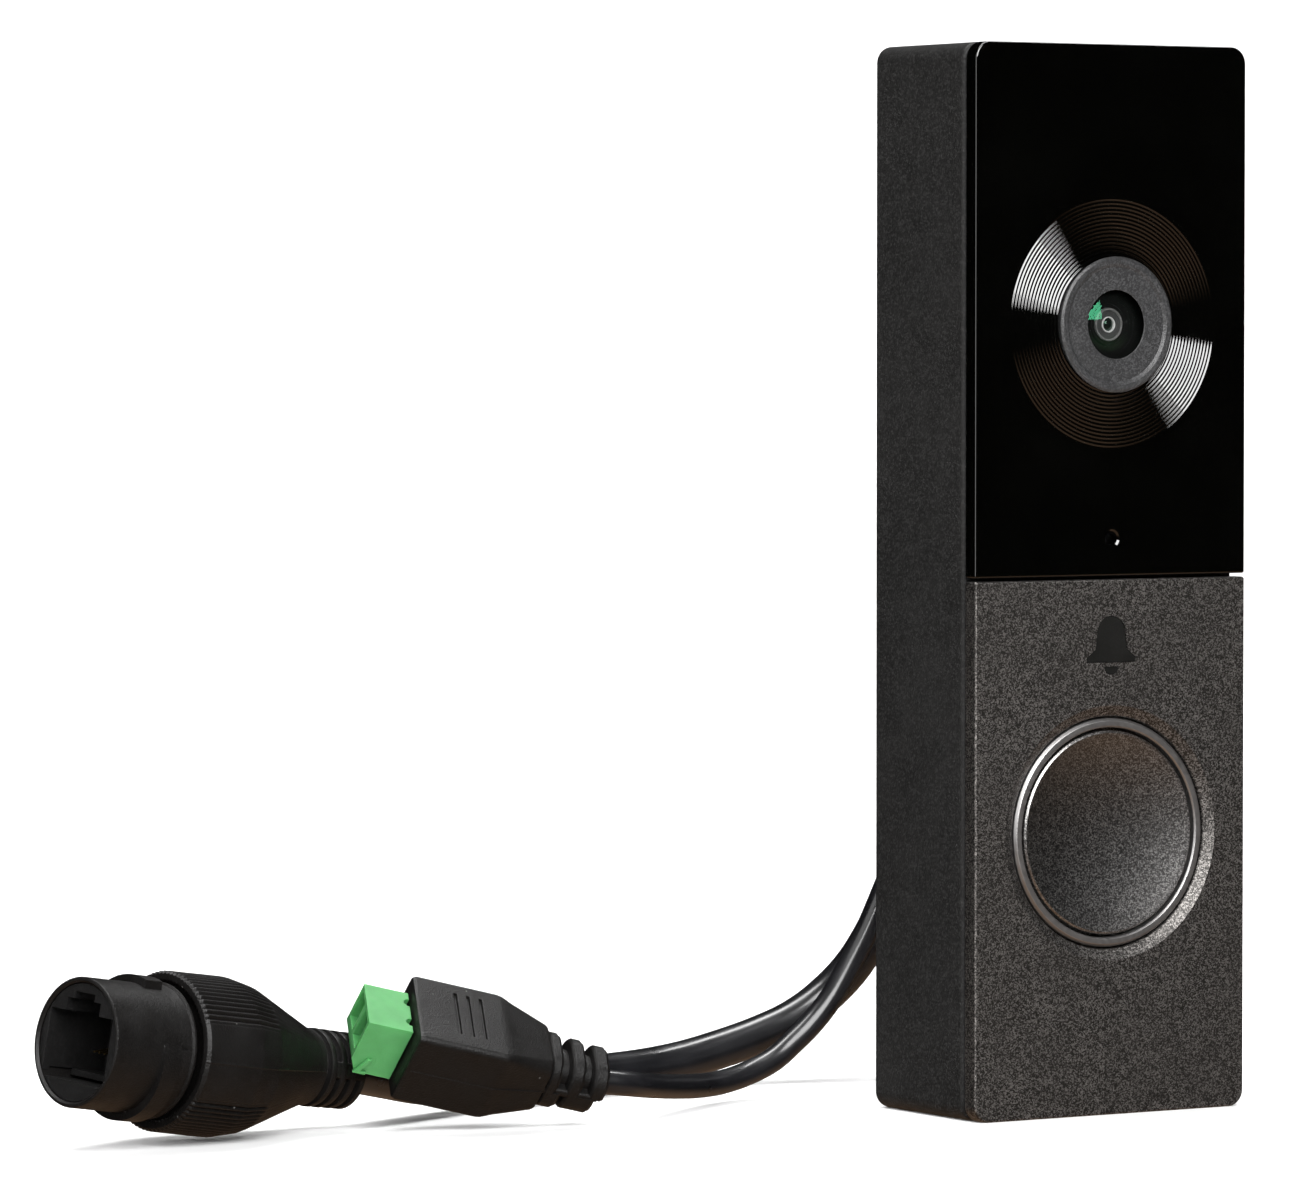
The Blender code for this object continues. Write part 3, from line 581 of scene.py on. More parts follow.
def add_camera():
    """Long lens at the left of the doorbell, a little above its middle."""
    yaw, rise = math.radians(CAMERA_YAW), math.radians(CAMERA_RISE)
    back = Vector((math.sin(yaw) * math.cos(rise), -math.cos(yaw) * math.cos(rise), math.sin(rise)))
    data = bpy.data.cameras.new("camera")
    data.sensor_width = 36.0
    data.lens = CAMERA_LENS
    data.clip_start = 0.02
    data.clip_end = 20.0
    camera = bpy.data.objects.new("camera", data)
    bpy.context.scene.collection.objects.link(camera)
    camera.location = mm(*CAMERA_TARGET) + back * CAMERA_DISTANCE * MM
    camera.rotation_euler = back.to_track_quat("Z", "Y").to_euler()
    bpy.context.scene.camera = camera


def add_lamp(name, place, target, size, power, colour=(1, 1, 1)):
    """A soft rectangular lamp; places are in metres."""
    data = bpy.data.lights.new(name, "AREA")
    data.shape = "RECTANGLE"
    data.size, data.size_y = size
    data.energy = power
    data.color = colour
    lamp = bpy.data.objects.new(name, data)
    bpy.context.scene.collection.objects.link(lamp)
    lamp.location = place
    lamp.rotation_euler = (Vector(place) - Vector(target)).to_track_quat("Z", "Y").to_euler()


def add_stage():
    """Pale floor that curves up into a backdrop, a dim room and soft lamps."""
    mesh = bmesh.new()
    depth, bend, rise, half = 0.9, 0.5, 2.2, 2.6
    sweep = [(-0.75, 0.0), (depth, 0.0)]
    for step in range(1, 13):
        angle = math.radians(90 * step / 12)
        sweep.append((depth + bend * math.sin(angle), bend - bend * math.cos(angle)))
    sweep.append((depth + bend, rise))
    rows = [[mesh.verts.new((x, y, z)) for y, z in sweep] for x in (-half, half)]
    for index in range(len(sweep) - 1):
        mesh.faces.new((rows[0][index], rows[1][index], rows[1][index + 1], rows[0][index + 1]))
    floor = add_object("studio_floor", mesh)
    floor.data.shade_smooth()
    look = Look("studio_paper", (0.88, 0.88, 0.88), 0.85)
    look.put("Base Color", look.vary(look.noise(260, 3), 0.3, 0.7, 0.985, 1.0))
    floor.data.materials.append(look.material)
    floor.visible_glossy = False            # the dark room is what the glossy pieces mirror

    world = bpy.data.worlds.new("room")
    world.use_nodes = True
    nodes, links = world.node_tree.nodes, world.node_tree.links
    height = nodes.new("ShaderNodeSeparateXYZ")
    links.new(nodes.new("ShaderNodeTexCoord").outputs["Generated"], height.inputs[0])
    ramp = nodes.new("ShaderNodeValToRGB")
    ramp.color_ramp.elements[0].position = 0.22
    ramp.color_ramp.elements[0].color = (0.33, 0.21, 0.13, 1.0)
    ramp.color_ramp.elements[1].position = 0.38
    ramp.color_ramp.elements[1].color = (0.0025, 0.0025, 0.0022, 1.0)
    lift = nodes.new("ShaderNodeMath")
    lift.operation = "MULTIPLY_ADD"
    lift.inputs[1].default_value, lift.inputs[2].default_value = 0.5, 0.5
    links.new(height.outputs["Z"], lift.inputs[0])
    links.new(lift.outputs[0], ramp.inputs[0])
    links.new(ramp.outputs[0], nodes["Background"].inputs["Color"])
    bpy.context.scene.world = world
    bpy.context.scene.view_settings.view_transform = "Standard"

    centre = (-0.04, 0.0, 0.07)
    add_lamp("key", (-0.37, -0.97, 0.71), centre, (0.9, 0.9), 30)
    add_lamp("top", (-0.1, 0.25, 1.5), centre, (1.3, 0.8), 6)
    add_lamp("side_fill", (-0.95, -0.25, 0.35), centre, (0.7, 0.7), 3)
    add_lamp("backdrop", (0.1, 0.5, 1.9), (0.0, 1.4, 0.4), (2.6, 0.6), 60)


# ---------------------------------------------------------------- leads

def build_lead(name, route, diameter, replaced):
    """A lead as a round tube along its route; gives the piece and its length in metres."""
    curve = bpy.data.curves.new(name, "CURVE")
    curve.dimensions = "3D"
    curve.bevel_depth = diameter / 2 * MM
    curve.bevel_resolution = 8
    curve.use_fill_caps = True
    path = smooth_path(route, 1.5)
    spline = curve.splines.new("POLY")
    spline.points.add(len(path) - 1)
    for slot, spot in zip(spline.points, path):
        slot.co = (*(spot * MM), 1.0)
    spline.use_smooth = True
    made = bpy.data.objects.new(name, curve)
    bpy.context.scene.collection.objects.link(made)
    dress(made, LOOKS["cable"], replaces=[replaced])
    length = sum((after - before).length for before, after in zip(path, path[1:])) * MM
    return made, length


# ---------------------------------------------------------------- connectors

def ring_points(y, radius_at, steps):
    """A ring about Y whose radius is a function of the angle in degrees from +X."""
    points = []
    for index in range(steps):
        degrees = 360 * index / steps
        angle = math.radians(degrees)
        radius = radius_at(degrees)
        points.append((radius * math.cos(angle), y, radius * math.sin(angle)))
    return points


def signed(degrees):
    """An angle between -180 and 180 degrees."""
    return (degrees + 180) % 360 - 180


def build_rj45():
    """Coupler: nose with a bayonet flange, jack, fluted collar and slotted strain relief."""
    place = connector_frame(RJ45_NOSE, RJ45_ANGLES)
    moulding = LOOKS["moulding"]
    inner = 7.35

    def flange(degrees):
        """Bayonet flange: full from below round the far side to the top, faded at the near side."""
        turn = signed(degrees)
        if 10 <= turn < 74:
            return 8.08
        if -50 < turn < 10:
            return 8.08 + 0.95 * ((10 - turn) / 60) ** 0.6
        return 9.03

    def plain(radius):
        """A constant radius."""
        return lambda degrees: radius

    steps = 180
    sections = [(0.0, plain(inner + 0.25)), (0.0, plain(7.8)), (0.1, plain(7.98)), (0.3, plain(8.05)),
                (7.4, plain(8.05)), (7.45, flange), (10.1, flange), (10.2, plain(8.08)), (11.8, plain(8.2)),
                (12.0, plain(8.5)), (12.25, plain(8.5)), (12.35, plain(8.4)), (12.35, plain(inner)),
                (1.2, plain(inner)), (0.3, plain(inner))]
    shell = loft("coupler_nose", [ring_points(y, rule, steps) for y, rule in sections], place, closed=True)
    dress(shell, moulding, replaces=["rj45_shell"], angle=38)

    plug = ((0, 0.4), (inner - 0.05, 0.4, 0.15), (inner - 0.05, 1.4), (inner - GAP, 1.5), (inner - GAP, 12.5),
            (0, 12.5))
    jack = turned("coupler_jack", plug)
    half, low, high = 6.0, -4.8, 3.6
    socket = ((-half, low), (half, low), (half, high), (3.2, high), (3.2, high + 1.6), (1.9, high + 1.6),
              (1.9, high + 2.5), (-1.9, high + 2.5), (-1.9, high + 1.6), (-3.2, high + 1.6), (-3.2, high),
              (-half, high))
    carve(jack, prism("cut_socket", socket, -1, 10.0))
    soften(jack, 0.12, 2, 50)
    dress(jack, LOOKS["black_plastic"], replaces=["rj45_jack"], place=place)
    tongue = block("jack_tongue", (-5.6, 5.6), (4.6, 9.6), (low + 0.35, low + 1.15), place)
    soften(tongue, 0.12, 2)
    dress(tongue, LOOKS["black_plastic"])
    for index in range(8):
        x = (index - 3.5) * 1.02
        spring = block(f"jack_contact_{index + 1}", (x - 0.16, x + 0.16), (6.2, 9.4), (-0.11, 0.11),
                       place @ at(0, 0, -2.6) @ Matrix.Rotation(math.radians(13), 4, "X"))
        soften(spring, 0.04, 1)
        dress(spring, LOOKS["gold"])
    build_collar(place, moulding)


def build_collar(place, moulding):
    """Fluted collar that runs into a cone and a slotted strain relief."""
    flutes, steps = 84, 84 * 6
    corners = ((7.6, 14.2), (8.75, 14.1), (8.85, 13.0, 0.1), (9.65, 12.95, 0.15), (9.98, 13.4, 0.2),
               (10.05, 21.8, 3.0), (9.35, 25.4, 4.0), (6.35, 32.6, 5.0), (5.0, 35.9, 3.0), (4.92, 36.7))
    profile = filleted(corners, False, 6)

    def fluted(radius, y):
        """Radius rule of the collar: fine flutes except on the smooth bands at both sides."""
        depth = 0.27 * max(0.0, min(1.0, (y - 12.9) / 0.2)) * max(0.0, min(1.0, (26.0 - y) / 1.2))

        def rule(degrees):
            turn = abs(signed(degrees))
            band = min(turn, 180 - turn)
            edge = max(0.0, min(1.0, (band - 28) / 1.5))
            wave = 0.5 - 0.5 * math.cos(math.radians(degrees) * flutes)
            seam = 0.07 * math.exp(-(band / 0.5) ** 2) if radius > 9 or y > 20 else 0.0
            return radius - depth * edge * wave ** 1.5 + seam
        return rule

    sections = [(14.2, lambda degrees: 0.2)]
    sections += [(spot.y, fluted(spot.x, spot.y)) for spot in profile]
    body = [ring_points(y, rule, steps) for y, rule in sections]
    collar = loft("coupler_collar", body + relief_rings(steps), place)
    dress(collar, moulding, replaces=["rj45_overmould"], angle=50)


def relief_rings(steps):
    """Rings of the coupler's strain relief: one full groove, then slots split by a web at each side."""
    rings = []
    ribs, pitch = 4, 1.7
    start = 36.8

    def groove(radius, depth, split):
        """Radius rule of a groove, whole or broken by a web at each side."""
        def rule(degrees):
            turn = abs(signed(degrees - 4))
            band = min(turn, 180 - turn)
            web = 1.0 if not split else max(0.0, min(1.0, (band - 11) / 5))
            return radius - depth * web
        return rule

    for index in range(ribs):
        y = start + pitch * index
        radius = 4.92 - 0.03 * index
        split = index > 0                   # the first groove runs all the way round
        for shift, share in ((0.0, 0.0), (0.1, 0.85), (0.2, 1.0), (0.6, 1.0), (0.72, 0.85), (0.84, 0.0),
                             (1.0, -0.06), (1.5, -0.06)):
            rings.append(ring_points(y + shift, groove(radius, 0.8 * share, split and share > 0), steps))
    end = start + pitch * ribs
    for y, radius in ((end - 0.15, 4.75), (end + 0.1, 4.55), (43.75, 3.9), (43.8, 2.9)):
        rings.append(ring_points(max(y, end - 0.15), lambda degrees, radius=radius: radius, steps))
    rings.append(ring_points(43.8, lambda degrees: 0.2, steps))
    return rings


def section(y, half_x, half_z, radius, steps=6):
    """A ring across the connector's axis: a rectangle with rounded corners."""
    outline = rounded_outline((-half_x, half_x), (-half_z, half_z), (radius,) * 4, steps)
    return [(x, y, z) for x, z in outline]


def build_terminal():
    """Two-way terminal block in an overmould with grip slots and a staggered strain relief."""
    place = connector_frame(TERMINAL_NOSE, TERMINAL_ANGLES)
    half_x, half_z = 3.6, 4.15
    green = block("terminal_housing", (-half_x, half_x), (0, 5.9), (-half_z, half_z))
    wedge = prism("cut_wedge", ((-0.5, -1.1), (-0.5, -half_z - 0.5), (1.35, -half_z - 0.5)), -half_x - 1,
                  half_x + 1, SWAP_XY)
    ways = [block(f"cut_way_{index}", (x - 1.3, x + 1.3), (-1, 4.5), (-0.9, half_z - 0.55))
            for index, x in enumerate((-1.72, 1.72))]
    across = Matrix.Rotation(math.radians(90), 4, "X")
    notches = [turned(f"cut_notch_{index}", ((0, half_z - 0.8), (0.62, half_z - 0.8), (0.62, half_z + 1),
                                             (0, half_z + 1)), across @ at(x, 0, -5.75), 24)
               for index, x in enumerate((-1.8, 1.8))]
    carve(green, wedge, *ways, *notches)
    soften(green, 0.12, 2, 40)
    dress(green, LOOKS["green_plastic"], replaces=["terminal_block"], place=place)
    latch = ((0.8, -4.0), (2.5, -4.0), (2.5, -3.6), (1.7, -3.6), (2.5, -1.5), (2.0, -1.5))
    key = prism("terminal_key", latch, 0, 0.45, at(half_x, 0, 0) @ SWAP_XY)
    soften(key, 0.08, 2)
    dress(key, LOOKS["green_plastic"], place=place)
    for index, x in enumerate((-1.78, 1.78), 1):
        tip = ((0, 1.4), (0.45, 1.4, 0.15), (0.5, 2.0), (0.5, 4.4), (0, 4.4))
        pin = turned(f"terminal_pin_{index}", tip, place @ at(x, 0, 1.0), 24)
        dress(pin, LOOKS["steel"])

    wide, tall = 6.1, 5.5
    rings = [section(6.2, wide - 0.55, tall - 0.55, 0.5), section(6.35, wide - 0.2, tall - 0.2, 0.7),
             section(6.8, wide, tall, 0.8), section(17.6, wide, tall, 0.85),
             section(18.3, wide - 0.05, tall - 0.05, 0.9), section(19.0, wide - 0.22, tall - 0.2, 1.0),
             section(19.8, wide - 0.45, tall - 0.4, 1.1), section(24.7, 4.55, 4.15, 1.6),
             section(25.0, 4.45, 4.05, 1.8), section(25.1, 3.2, 2.9, 2.0), section(25.1, 0.6, 0.5, 0.4)]
    mould = loft("terminal_overmould_body", rings)
    slots = [block(f"cut_grip_{index}", (-4.0, 3.4), (y, y + 0.42), (tall - 0.45, tall + 1))
             for index, y in enumerate((11.6, 13.3, 15.0))]
    carve(mould, *slots)
    soften(mould, 0.1, 2, 45)
    dress(mould, LOOKS["moulding"], replaces=["terminal_overmould"], angle=40, place=place)
    line = ((6.9, wide + 0.06), (18.3, wide + 0.06), (24.8, 4.6), (25.0, 4.4))
    seam = loft("terminal_parting_line", [section(y, half, 0.05, 0.02, 1) for y, half in line], place)
    dress(seam, LOOKS["moulding"])
    build_terminal_relief(place)


def build_terminal_relief(place):
    """Core, side web and staggered half rings of the terminal lead's strain relief."""
    core = loft("terminal_relief_core", [section(25.0, 2.9, 2.7, 2.2), section(33.0, 2.6, 2.5, 2.1),
                                         section(33.3, 2.2, 2.1, 1.8)], place)
    dress(core, LOOKS["moulding"])
    web = loft("terminal_relief_web", [section(25.0, 4.3, 0.55, 0.4), section(32.4, 3.9, 0.5, 0.4),
                                       section(32.8, 3.5, 0.4, 0.3)], place)
    dress(web, LOOKS["moulding"])
    upper = ((25.0, 26.7, 4.45, 4.1), (28.0, 29.9, 4.2, 3.9), (31.1, 33.2, 4.0, 3.7))
    lower = ((25.0, 27.5, 4.4, 4.0), (28.1, 32.2, 4.1, 3.8))
    for side, stack in ((1, upper), (-1, lower)):
        for index, (start, end, half_x, half_z) in enumerate(stack, 1):
            name = f"terminal_relief_{'upper' if side > 0 else 'lower'}_{index}"
            bands = ((start, 0.6, 0.62), (start + 0.15, 0.25, 0.7), (start + 0.45, 0.0, 0.75),
                     (end - 0.45, 0.0, 0.75), (end - 0.15, 0.25, 0.7), (end, 0.35, 0.62))
            ring = loft(name, [section(y, half_x - inset, half_z - inset, half_z * share)
                               for y, inset, share in bands])
            keep = (0.0, 6.0) if side > 0 else (-6.0, 0.0)
            carve(ring, block("keep_half", (-6, 6), (start - 1, end + 1), keep), mode="INTERSECT")
            dress(ring, LOOKS["moulding"], place=place)


def build_gland():
    """Gland in the rear face with a ribbed sleeve for each lead."""
    inner = rounded_outline((-9.9, 9.9), (EXIT_Z - 5.9, EXIT_Z + 5.9), (2.8,) * 4, 6)
    outer = rounded_outline((-11.4, 11.4), (EXIT_Z - 7.4, EXIT_Z + 7.4), (3.0,) * 4, 6)
    neck = prism("gland_body", inner, 5.6, BACK_OUT + 1.8)
    soften(neck, 0.4, 3, 40)
    flange = prism("gland_flange", outer, 5.1, BACK_IN - GAP)
    sleeves = []
    for x, radius in ((ETHERNET_X, ETHERNET_D / 2), (TERMINAL_X, TERMINAL_D / 2)):
        wall = radius + 1.5
        profile = [(0, 9.0), (wall, 9.0), (wall, 12.7, 0.1)]
        for turn in range(3):
            y = 12.8 + 1.2 * turn
            size = wall - 0.18 - 0.2 * turn
            profile += [(size - 0.35, y, 0.08), (size - 0.35, y + 0.45, 0.08), (size, y + 0.5, 0.08),
                        (size, y + 1.1, 0.08)]
        profile += [(radius + 0.4, 16.8), (0, 16.8)]
        sleeves.append(turned(f"gland_sleeve_{'left' if x < 0 else 'right'}", profile, at(x, 0, EXIT_Z), 48))
    carve(neck, flange, *sleeves, mode="UNION")
    return dress(neck, LOOKS["rubber"], replaces=["cable_gland"])


def build_leads():
    """Both leads, their connectors and the gland."""
    ethernet, ethernet_length = build_lead("ethernet_lead", ETHERNET_ROUTE, ETHERNET_D, "ethernet_cord")
    terminal, terminal_length = build_lead("terminal_lead", TERMINAL_ROUTE, TERMINAL_D, "terminal_cord")
    build_rj45()
    build_terminal()
    build_gland()


# ---------------------------------------------------------------- body

def build_housing():
    """Rear tub with its mouth, ledge, rear recess, gland hole and speaker slots."""
    outline = rounded_outline((-HALF, HALF), (0, HEIGHT), (CORNER,) * 4, 10)
    housing = prism("housing_shell", outline, RIM, REAR)
    soften(housing, 0.7, 4, 40)
    mouth = rounded_outline((-HALF + WALL, HALF - WALL), (WALL, HEIGHT - WALL), (1.2,) * 4, 4)
    deep = rounded_outline((-HALF + LEDGE, HALF - LEDGE), (LEDGE, HEIGHT - LEDGE), (1.0,) * 4, 3)
    recess = rounded_outline((-RECESS_X, RECESS_X), RECESS_Z, (3.0,) * 4, 6)
    gland = rounded_outline((-10.2, 10.2), (EXIT_Z - 6.2, EXIT_Z + 6.2), (3.0,) * 4, 5)
    cutters = [prism("cut_mouth", mouth, RIM - 2, LEDGE_Y), prism("cut_deep", deep, LEDGE_Y - 1, 2.0),
               block("cut_inner", (-11.2, 11.2), (1.5, BACK_IN), (12.5, HEIGHT - LEDGE)),
               prism("cut_recess", recess, BACK_OUT, REAR + 2),
               block("cut_tab", (-4.3, 4.3), (6.3, REAR + 2), (5.0, 11.9)),
               prism("cut_gland", gland, BACK_IN - 2, BACK_OUT + 2)]
    bore = ((0, 1), (1.6, 1), (1.6, 6.4), (2.6, 6.4), (2.6, REAR + 1), (0, REAR + 1))
    for index, (x, z) in enumerate(HOUSING_SCREWS):
        cutters.append(turned(f"cut_screw_{index}", bore, at(x, 0, z), 32))
    slot = rounded_outline((-0.7, 0.7), (-1.4, 3.2), (0.65,) * 4, 4)
    for index in range(6):
        x = -10.0 + 4.0 * index
        cutters.append(prism(f"cut_slot_{index}", slot, -1, LEDGE + 1, at(x, 0, 0) @ SWAP_YZ))
    security = ((0, -1), (2.4, -1), (2.4, 2.0), (1.4, 2.0), (1.4, 6.5), (0, 6.5))
    cutters.append(turned("cut_security", security, LOCK_PLACE, 32))
    carve(housing, *cutters)
    dress(housing, LOOKS["housing"], replaces=["rear_housing"])


def build_glass():
    """Polished glass panel round a disc with fine concentric grooves."""
    outline = rounded_outline((-HALF, HALF), (GLASS_LOW.z, GLASS_HIGH.z), (0.3, 0.3, CORNER, CORNER), 10)
    panel = prism("glass_panel", outline, FRONT, PANEL_BACK)
    soften(panel, 0.28, 3, 40)
    round_hole = ((0, FRONT - 1), (GROOVE_R, FRONT - 1), (GROOVE_R, PANEL_BACK + 1), (0, PANEL_BACK + 1))
    hole = turned("cut_disc", round_hole, at(0, 0, LENS_Z), 192)
    mic = ((0, FRONT - 1), (1.2, FRONT - 1), (1.2, FRONT), (0.95, FRONT + 0.2), (0.95, PANEL_BACK + 1),
           (0, PANEL_BACK + 1))
    carve(panel, hole, turned("cut_mic", mic, at(0, 0, MIC_Z), 48))
    dress(panel, LOOKS["glass"], replaces=["front_glass"])

    inner, outer = BEZEL_NECK + 0.2, GROOVE_R - 0.01
    corners = [(inner, PANEL_BACK), (inner, FRONT)]
    grooves = int((GROOVE_R - 0.1 - inner) / GROOVE_PITCH)
    points = 10
    for index in range(grooves * points + 1):
        share = index / points
        depth = GROOVE_DEPTH * (0.5 - 0.5 * math.cos(2 * math.pi * share))
        corners.append((inner + 0.1 + GROOVE_PITCH * share, FRONT + depth))
    corners += [(outer, FRONT), (outer, PANEL_BACK)]
    disc = turned("groove_disc", corners, at(0, 0, LENS_Z), 192, ring=True)
    dress(disc, LOOKS["glass"], angle=80)


def bell_outline(size):
    """Outlines of the bell sign's body and clapper."""
    dome = [(0.52 * math.cos(math.radians(angle)), 0.25 + 0.55 * math.sin(math.radians(angle)))
            for angle in range(0, 181, 10)]
    body = [(-0.9, -0.6), (0.9, -0.6), (0.9, -0.45), (0.58, -0.2)] + dome + [(-0.58, -0.2), (-0.9, -0.45)]
    clapper = [(0.26 * math.cos(math.radians(angle)), -0.72 + 0.26 * math.sin(math.radians(angle)))
               for angle in range(180, 361, 12)]
    return [[(x * size, z * size) for x, z in outline] for outline in (body, clapper)]


def build_faceplate():
    """Grained faceplate with a conical dish round the button and a sunk bell sign."""
    outline = rounded_outline((-HALF, HALF), (PLATE_LOW.z, PLATE_HIGH.z), (CORNER, CORNER, 0.3, 0.3), 10)
    plate = prism("faceplate_shell", outline, FRONT, PANEL_BACK)
    soften(plate, 0.28, 5, 40)
    hole = RING_R + GAP
    dish = ((0, FRONT - 1), (DISH_R + 1, FRONT - 1), (DISH_R, FRONT, 0.0), (hole + 0.1, FRONT + 0.6, 0.1),
            (hole, FRONT + 0.75), (hole, PANEL_BACK + 1), (0, PANEL_BACK + 1))
    cutters = [turned("cut_dish", dish, at(0, 0, BUTTON_Z), 192)]
    sign = at(0, 0, BELL_Z)
    for name, shape in zip(("body", "clapper"), bell_outline(BELL_SIZE)):
        cutters.append(prism(f"cut_bell_{name}", shape, FRONT - 1, FRONT + BELL_DEPTH, sign))
    carve(plate, *cutters)
    dress(plate, LOOKS["faceplate"], replaces=["faceplate"], angle=20)
    for name, shape in zip(("body", "clapper"), bell_outline(BELL_SIZE * 0.985)):
        inlay = prism(f"bell_{name}", shape, FRONT + 0.1, FRONT + BELL_DEPTH - 0.01, sign)
        soften(inlay, 0.03, 1, 50)
        dress(inlay, LOOKS["sign"])


def dome_profile(radius, centre_y, angles):
    """Profile of a glass dome: a circle's points at the given angles from its tip."""
    return [(radius * math.sin(math.radians(angle)), centre_y - radius * math.cos(math.radians(angle)))
            for angle in angles]


def build_camera():
    """Flared bezel, dome window, barrel, and the front lens element with its rings."""
    centre = at(0, 0, LENS_Z)
    front, lip = -11.88, -11.6
    bezel = ((4.3, lip, 0.1), (7.3, lip, 0.05), (7.75, front + 0.04, 0.25), (8.35, front, 0.2),
             (BEZEL_R, -11.65, 0.1), (BEZEL_R - 0.1, -11.4, 0.1), (BEZEL_NECK, FRONT - 0.15, 0.1),
             (BEZEL_NECK, -8.0), (10.5, -8.0), (10.5, -7.0), (7.0, -7.0), (7.0, lip + 0.55), (4.5, lip + 0.3))
    dress(turned("camera_bezel", bezel, centre, 144, ring=True, arc_steps=6), LOOKS["bezel"],
          replaces=["lens_bezel"], angle=19)
    outer = dome_profile(7.0, -4.75, (0, 6, 12, 18, 23, 27, 30, 33, 36, 39))
    inner = [(radius * 0.97, y + 0.35) for radius, y in reversed(outer)]
    window = outer + [(6.7, -10.15, 0.1), (6.7, -9.8, 0.1)] + inner
    dress(turned("camera_window", window, centre, 144), LOOKS["window"],
          replaces=["lens_window"], angle=60)
    barrel = ((2.15, -9.75), (2.6, -9.75, 0.05), (2.7, -9.6), (4.9, -9.6), (6.0, -9.4), (6.0, -1.0),
              (3.2, -1.0), (3.2, -8.4), (2.15, -8.4))
    dress(turned("camera_barrel", barrel, centre, 96, ring=True), LOOKS["black_plastic"],
          replaces=["lens_barrel"])
    retainer = ((1.85, -9.95, 0.04), (1.93, -10.02, 0.05), (2.07, -10.02, 0.05), (2.12, -9.95), (2.12, -8.9),
                (1.85, -8.9))
    dress(turned("lens_retainer", retainer, centre, 96, ring=True), LOOKS["lens_ring"])
    face = ((1.02, -9.8), (1.82, -9.85), (1.82, -9.6), (1.02, -9.6))
    dress(turned("lens_face", face, centre, 96, ring=True), LOOKS["lens_face"])
    dome = dome_profile(1.05, -8.9, range(0, 49, 8)) + [(1.8, -9.2), (1.8, -8.75), (0, -8.75)]
    dress(turned("front_element", dome, centre, 72), LOOKS["lens"], replaces=["front_lens"])
    # iris ring: its near-white colour is a painted highlight in place of the lens's reflection ring
    iris = ((0.85, -9.85, 0.03), (0.9, -9.97, 0.04), (0.98, -9.97, 0.04), (1.02, -9.85), (1.02, -9.55),
            (0.85, -9.55))
    dress(turned("iris_ring", iris, centre, 72, ring=True), LOOKS["iris_ring"])


def build_button():
    """Satin ring and the concave push button."""
    centre = at(0, 0, BUTTON_Z)
    top = -10.3
    ring = ((RING_INNER_R, top + 0.2), (RING_INNER_R + 0.15, top, 0.08), (RING_R - 0.3, top, 0.15),
            (RING_R, top + 0.35, 0.1), (RING_R, -8.0), (15.7, -8.0), (15.7, -6.6), (RING_INNER_R, -6.6))
    dress(turned("button_bezel_ring", ring, centre, 192, ring=True, arc_steps=6), LOOKS["ring"],
          replaces=["button_ring"], angle=19)
    shares = (0, 0.15, 0.3, 0.45, 0.58, 0.7, 0.8, 0.88, 0.95)
    bowl = [(12.8 * share, -8.6 - 1.55 * share ** 2) for share in shares]
    flange = [(CAP_R, -6.3), (14.1, -6.3), (14.1, -5.4), (11.9, -5.4), (11.9, -8.1), (2.0, -8.1), (2.0, -4.9),
              (0, -4.9)]
    cap = bowl + [(12.8, -10.15, 0.05), (CAP_R - 0.05, -9.95, 0.08), (CAP_R, -9.6, 0.1)] + flange
    dress(turned("push_button", cap, centre, 192, arc_steps=5), LOOKS["cap"], body="button",
          replaces=["button_cap"], angle=19)


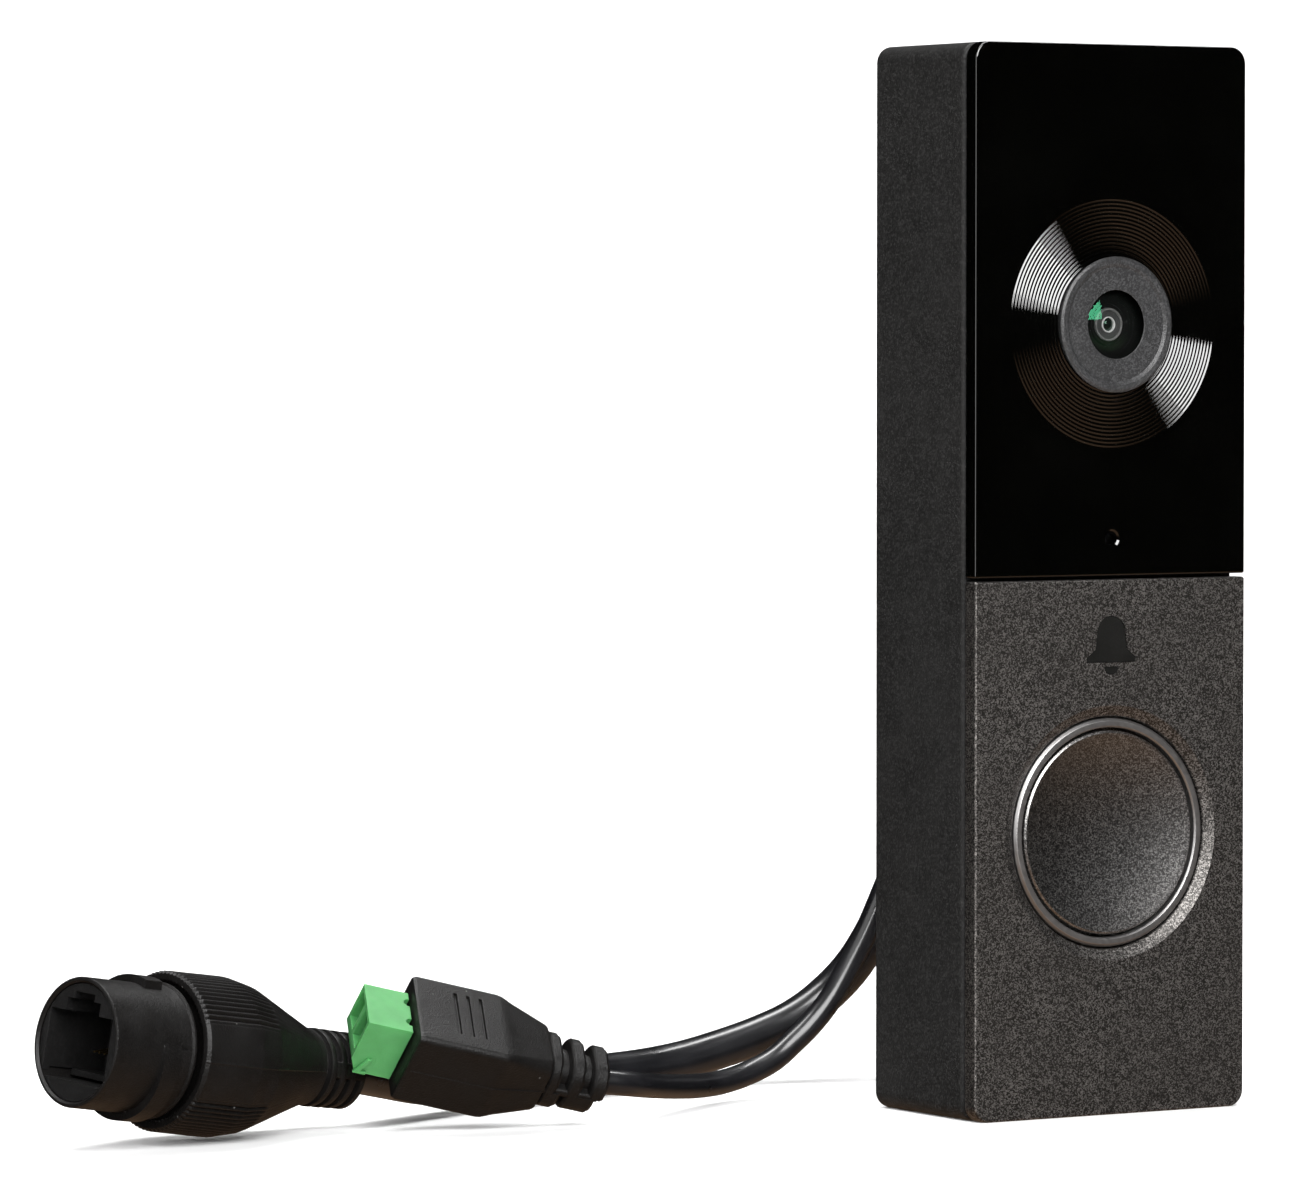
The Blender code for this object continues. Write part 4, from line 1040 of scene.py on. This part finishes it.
def build_rear():
    """Wall bracket and its locking screw."""
    zs = (RECESS_Z[0] + GAP, RECESS_Z[1] - GAP)
    edge = RECESS_X - GAP
    plate = prism("mounting_bracket", rounded_outline((-edge, edge), zs, (2.7,) * 4, 6), BACK_OUT + GAP, REAR)
    soften(plate, 0.25, 3, 40)
    tab = block("bracket_tab", (-4.0, 4.0), (6.6, REAR - 0.4), (zs[0] + 0.1, 11.6))
    soften(tab, 0.3, 2, 40)
    carve(plate, tab, mode="UNION")
    window = rounded_outline((-11.0, 11.0), (EXIT_Z - 9.0, EXIT_Z + 9.0), (3.0,) * 4, 6)
    cutters = [prism("cut_window", window, 7, REAR + 1)]
    for name, z in (("low", 24.0), ("high", 108.0)):
        shape = rounded_outline((-1.9, 1.9), (z - 4.0, z + 4.0), (1.9,) * 4, 8)
        sink = rounded_outline((-3.4, 3.4), (z - 5.5, z + 5.5), (3.4,) * 4, 10)
        cutters += [prism(f"cut_slot_{name}", shape, 7, REAR + 1),
                     prism(f"cut_sink_{name}", sink, REAR - 0.5, REAR + 1)]
    for z in (66.0, 88.0):
        rib = rounded_outline((-12.0, 12.0), (z - 1.5, z + 1.5), (1.5,) * 4, 6)
        cutters.append(prism(f"cut_rib_{z:.0f}", rib, REAR - 0.6, REAR + 1))
    cutters.append(turned("cut_tab_bore", ((0, 3), (1.4, 3), (1.4, 9.9), (0, 9.9)), LOCK_PLACE, 32))
    carve(plate, *cutters)
    dress(plate, LOOKS["steel"], replaces=["wall_bracket"])

    shank = [(0, 0.5), (1.75, 0.5, 0.25), (2.1, 1.0, 0.1), (2.1, 1.7), (1.1, 1.7)]
    for turn in range(12):
        y = 2.1 + 0.52 * turn
        shank += [(0.92, y), (1.1, y + 0.2), (1.1, y + 0.28)]
    lock = turned("locking_screw", shank + [(0.6, 9.1), (0, 9.4)], LOCK_PLACE, 48)
    cross = [block(f"cut_cross_{index}", (-1.15, 1.15), (0.0, 1.2), (-0.24, 0.24),
                   LOCK_PLACE @ Matrix.Rotation(math.radians(90 * index), 4, "Y")) for index in range(2)]
    carve(lock, *cross)
    dress(lock, LOOKS["steel"], replaces=["security_screw"])


def dress_inner_nodes():
    """Give every carried-over node its material."""
    slots = {row["node"]: row["material_slot"] for row in frame["record"]["subparts"]}
    for name, piece in frame["nodes"].items():
        look = LOOKS.get(slots[name], LOOKS["component"])
        piece.data.materials.clear()
        piece.data.materials.append(look)


add_camera()
add_stage()
build_leads()
build_housing()
build_glass()
build_faceplate()
build_camera()
build_button()
build_rear()
dress_inner_nodes()
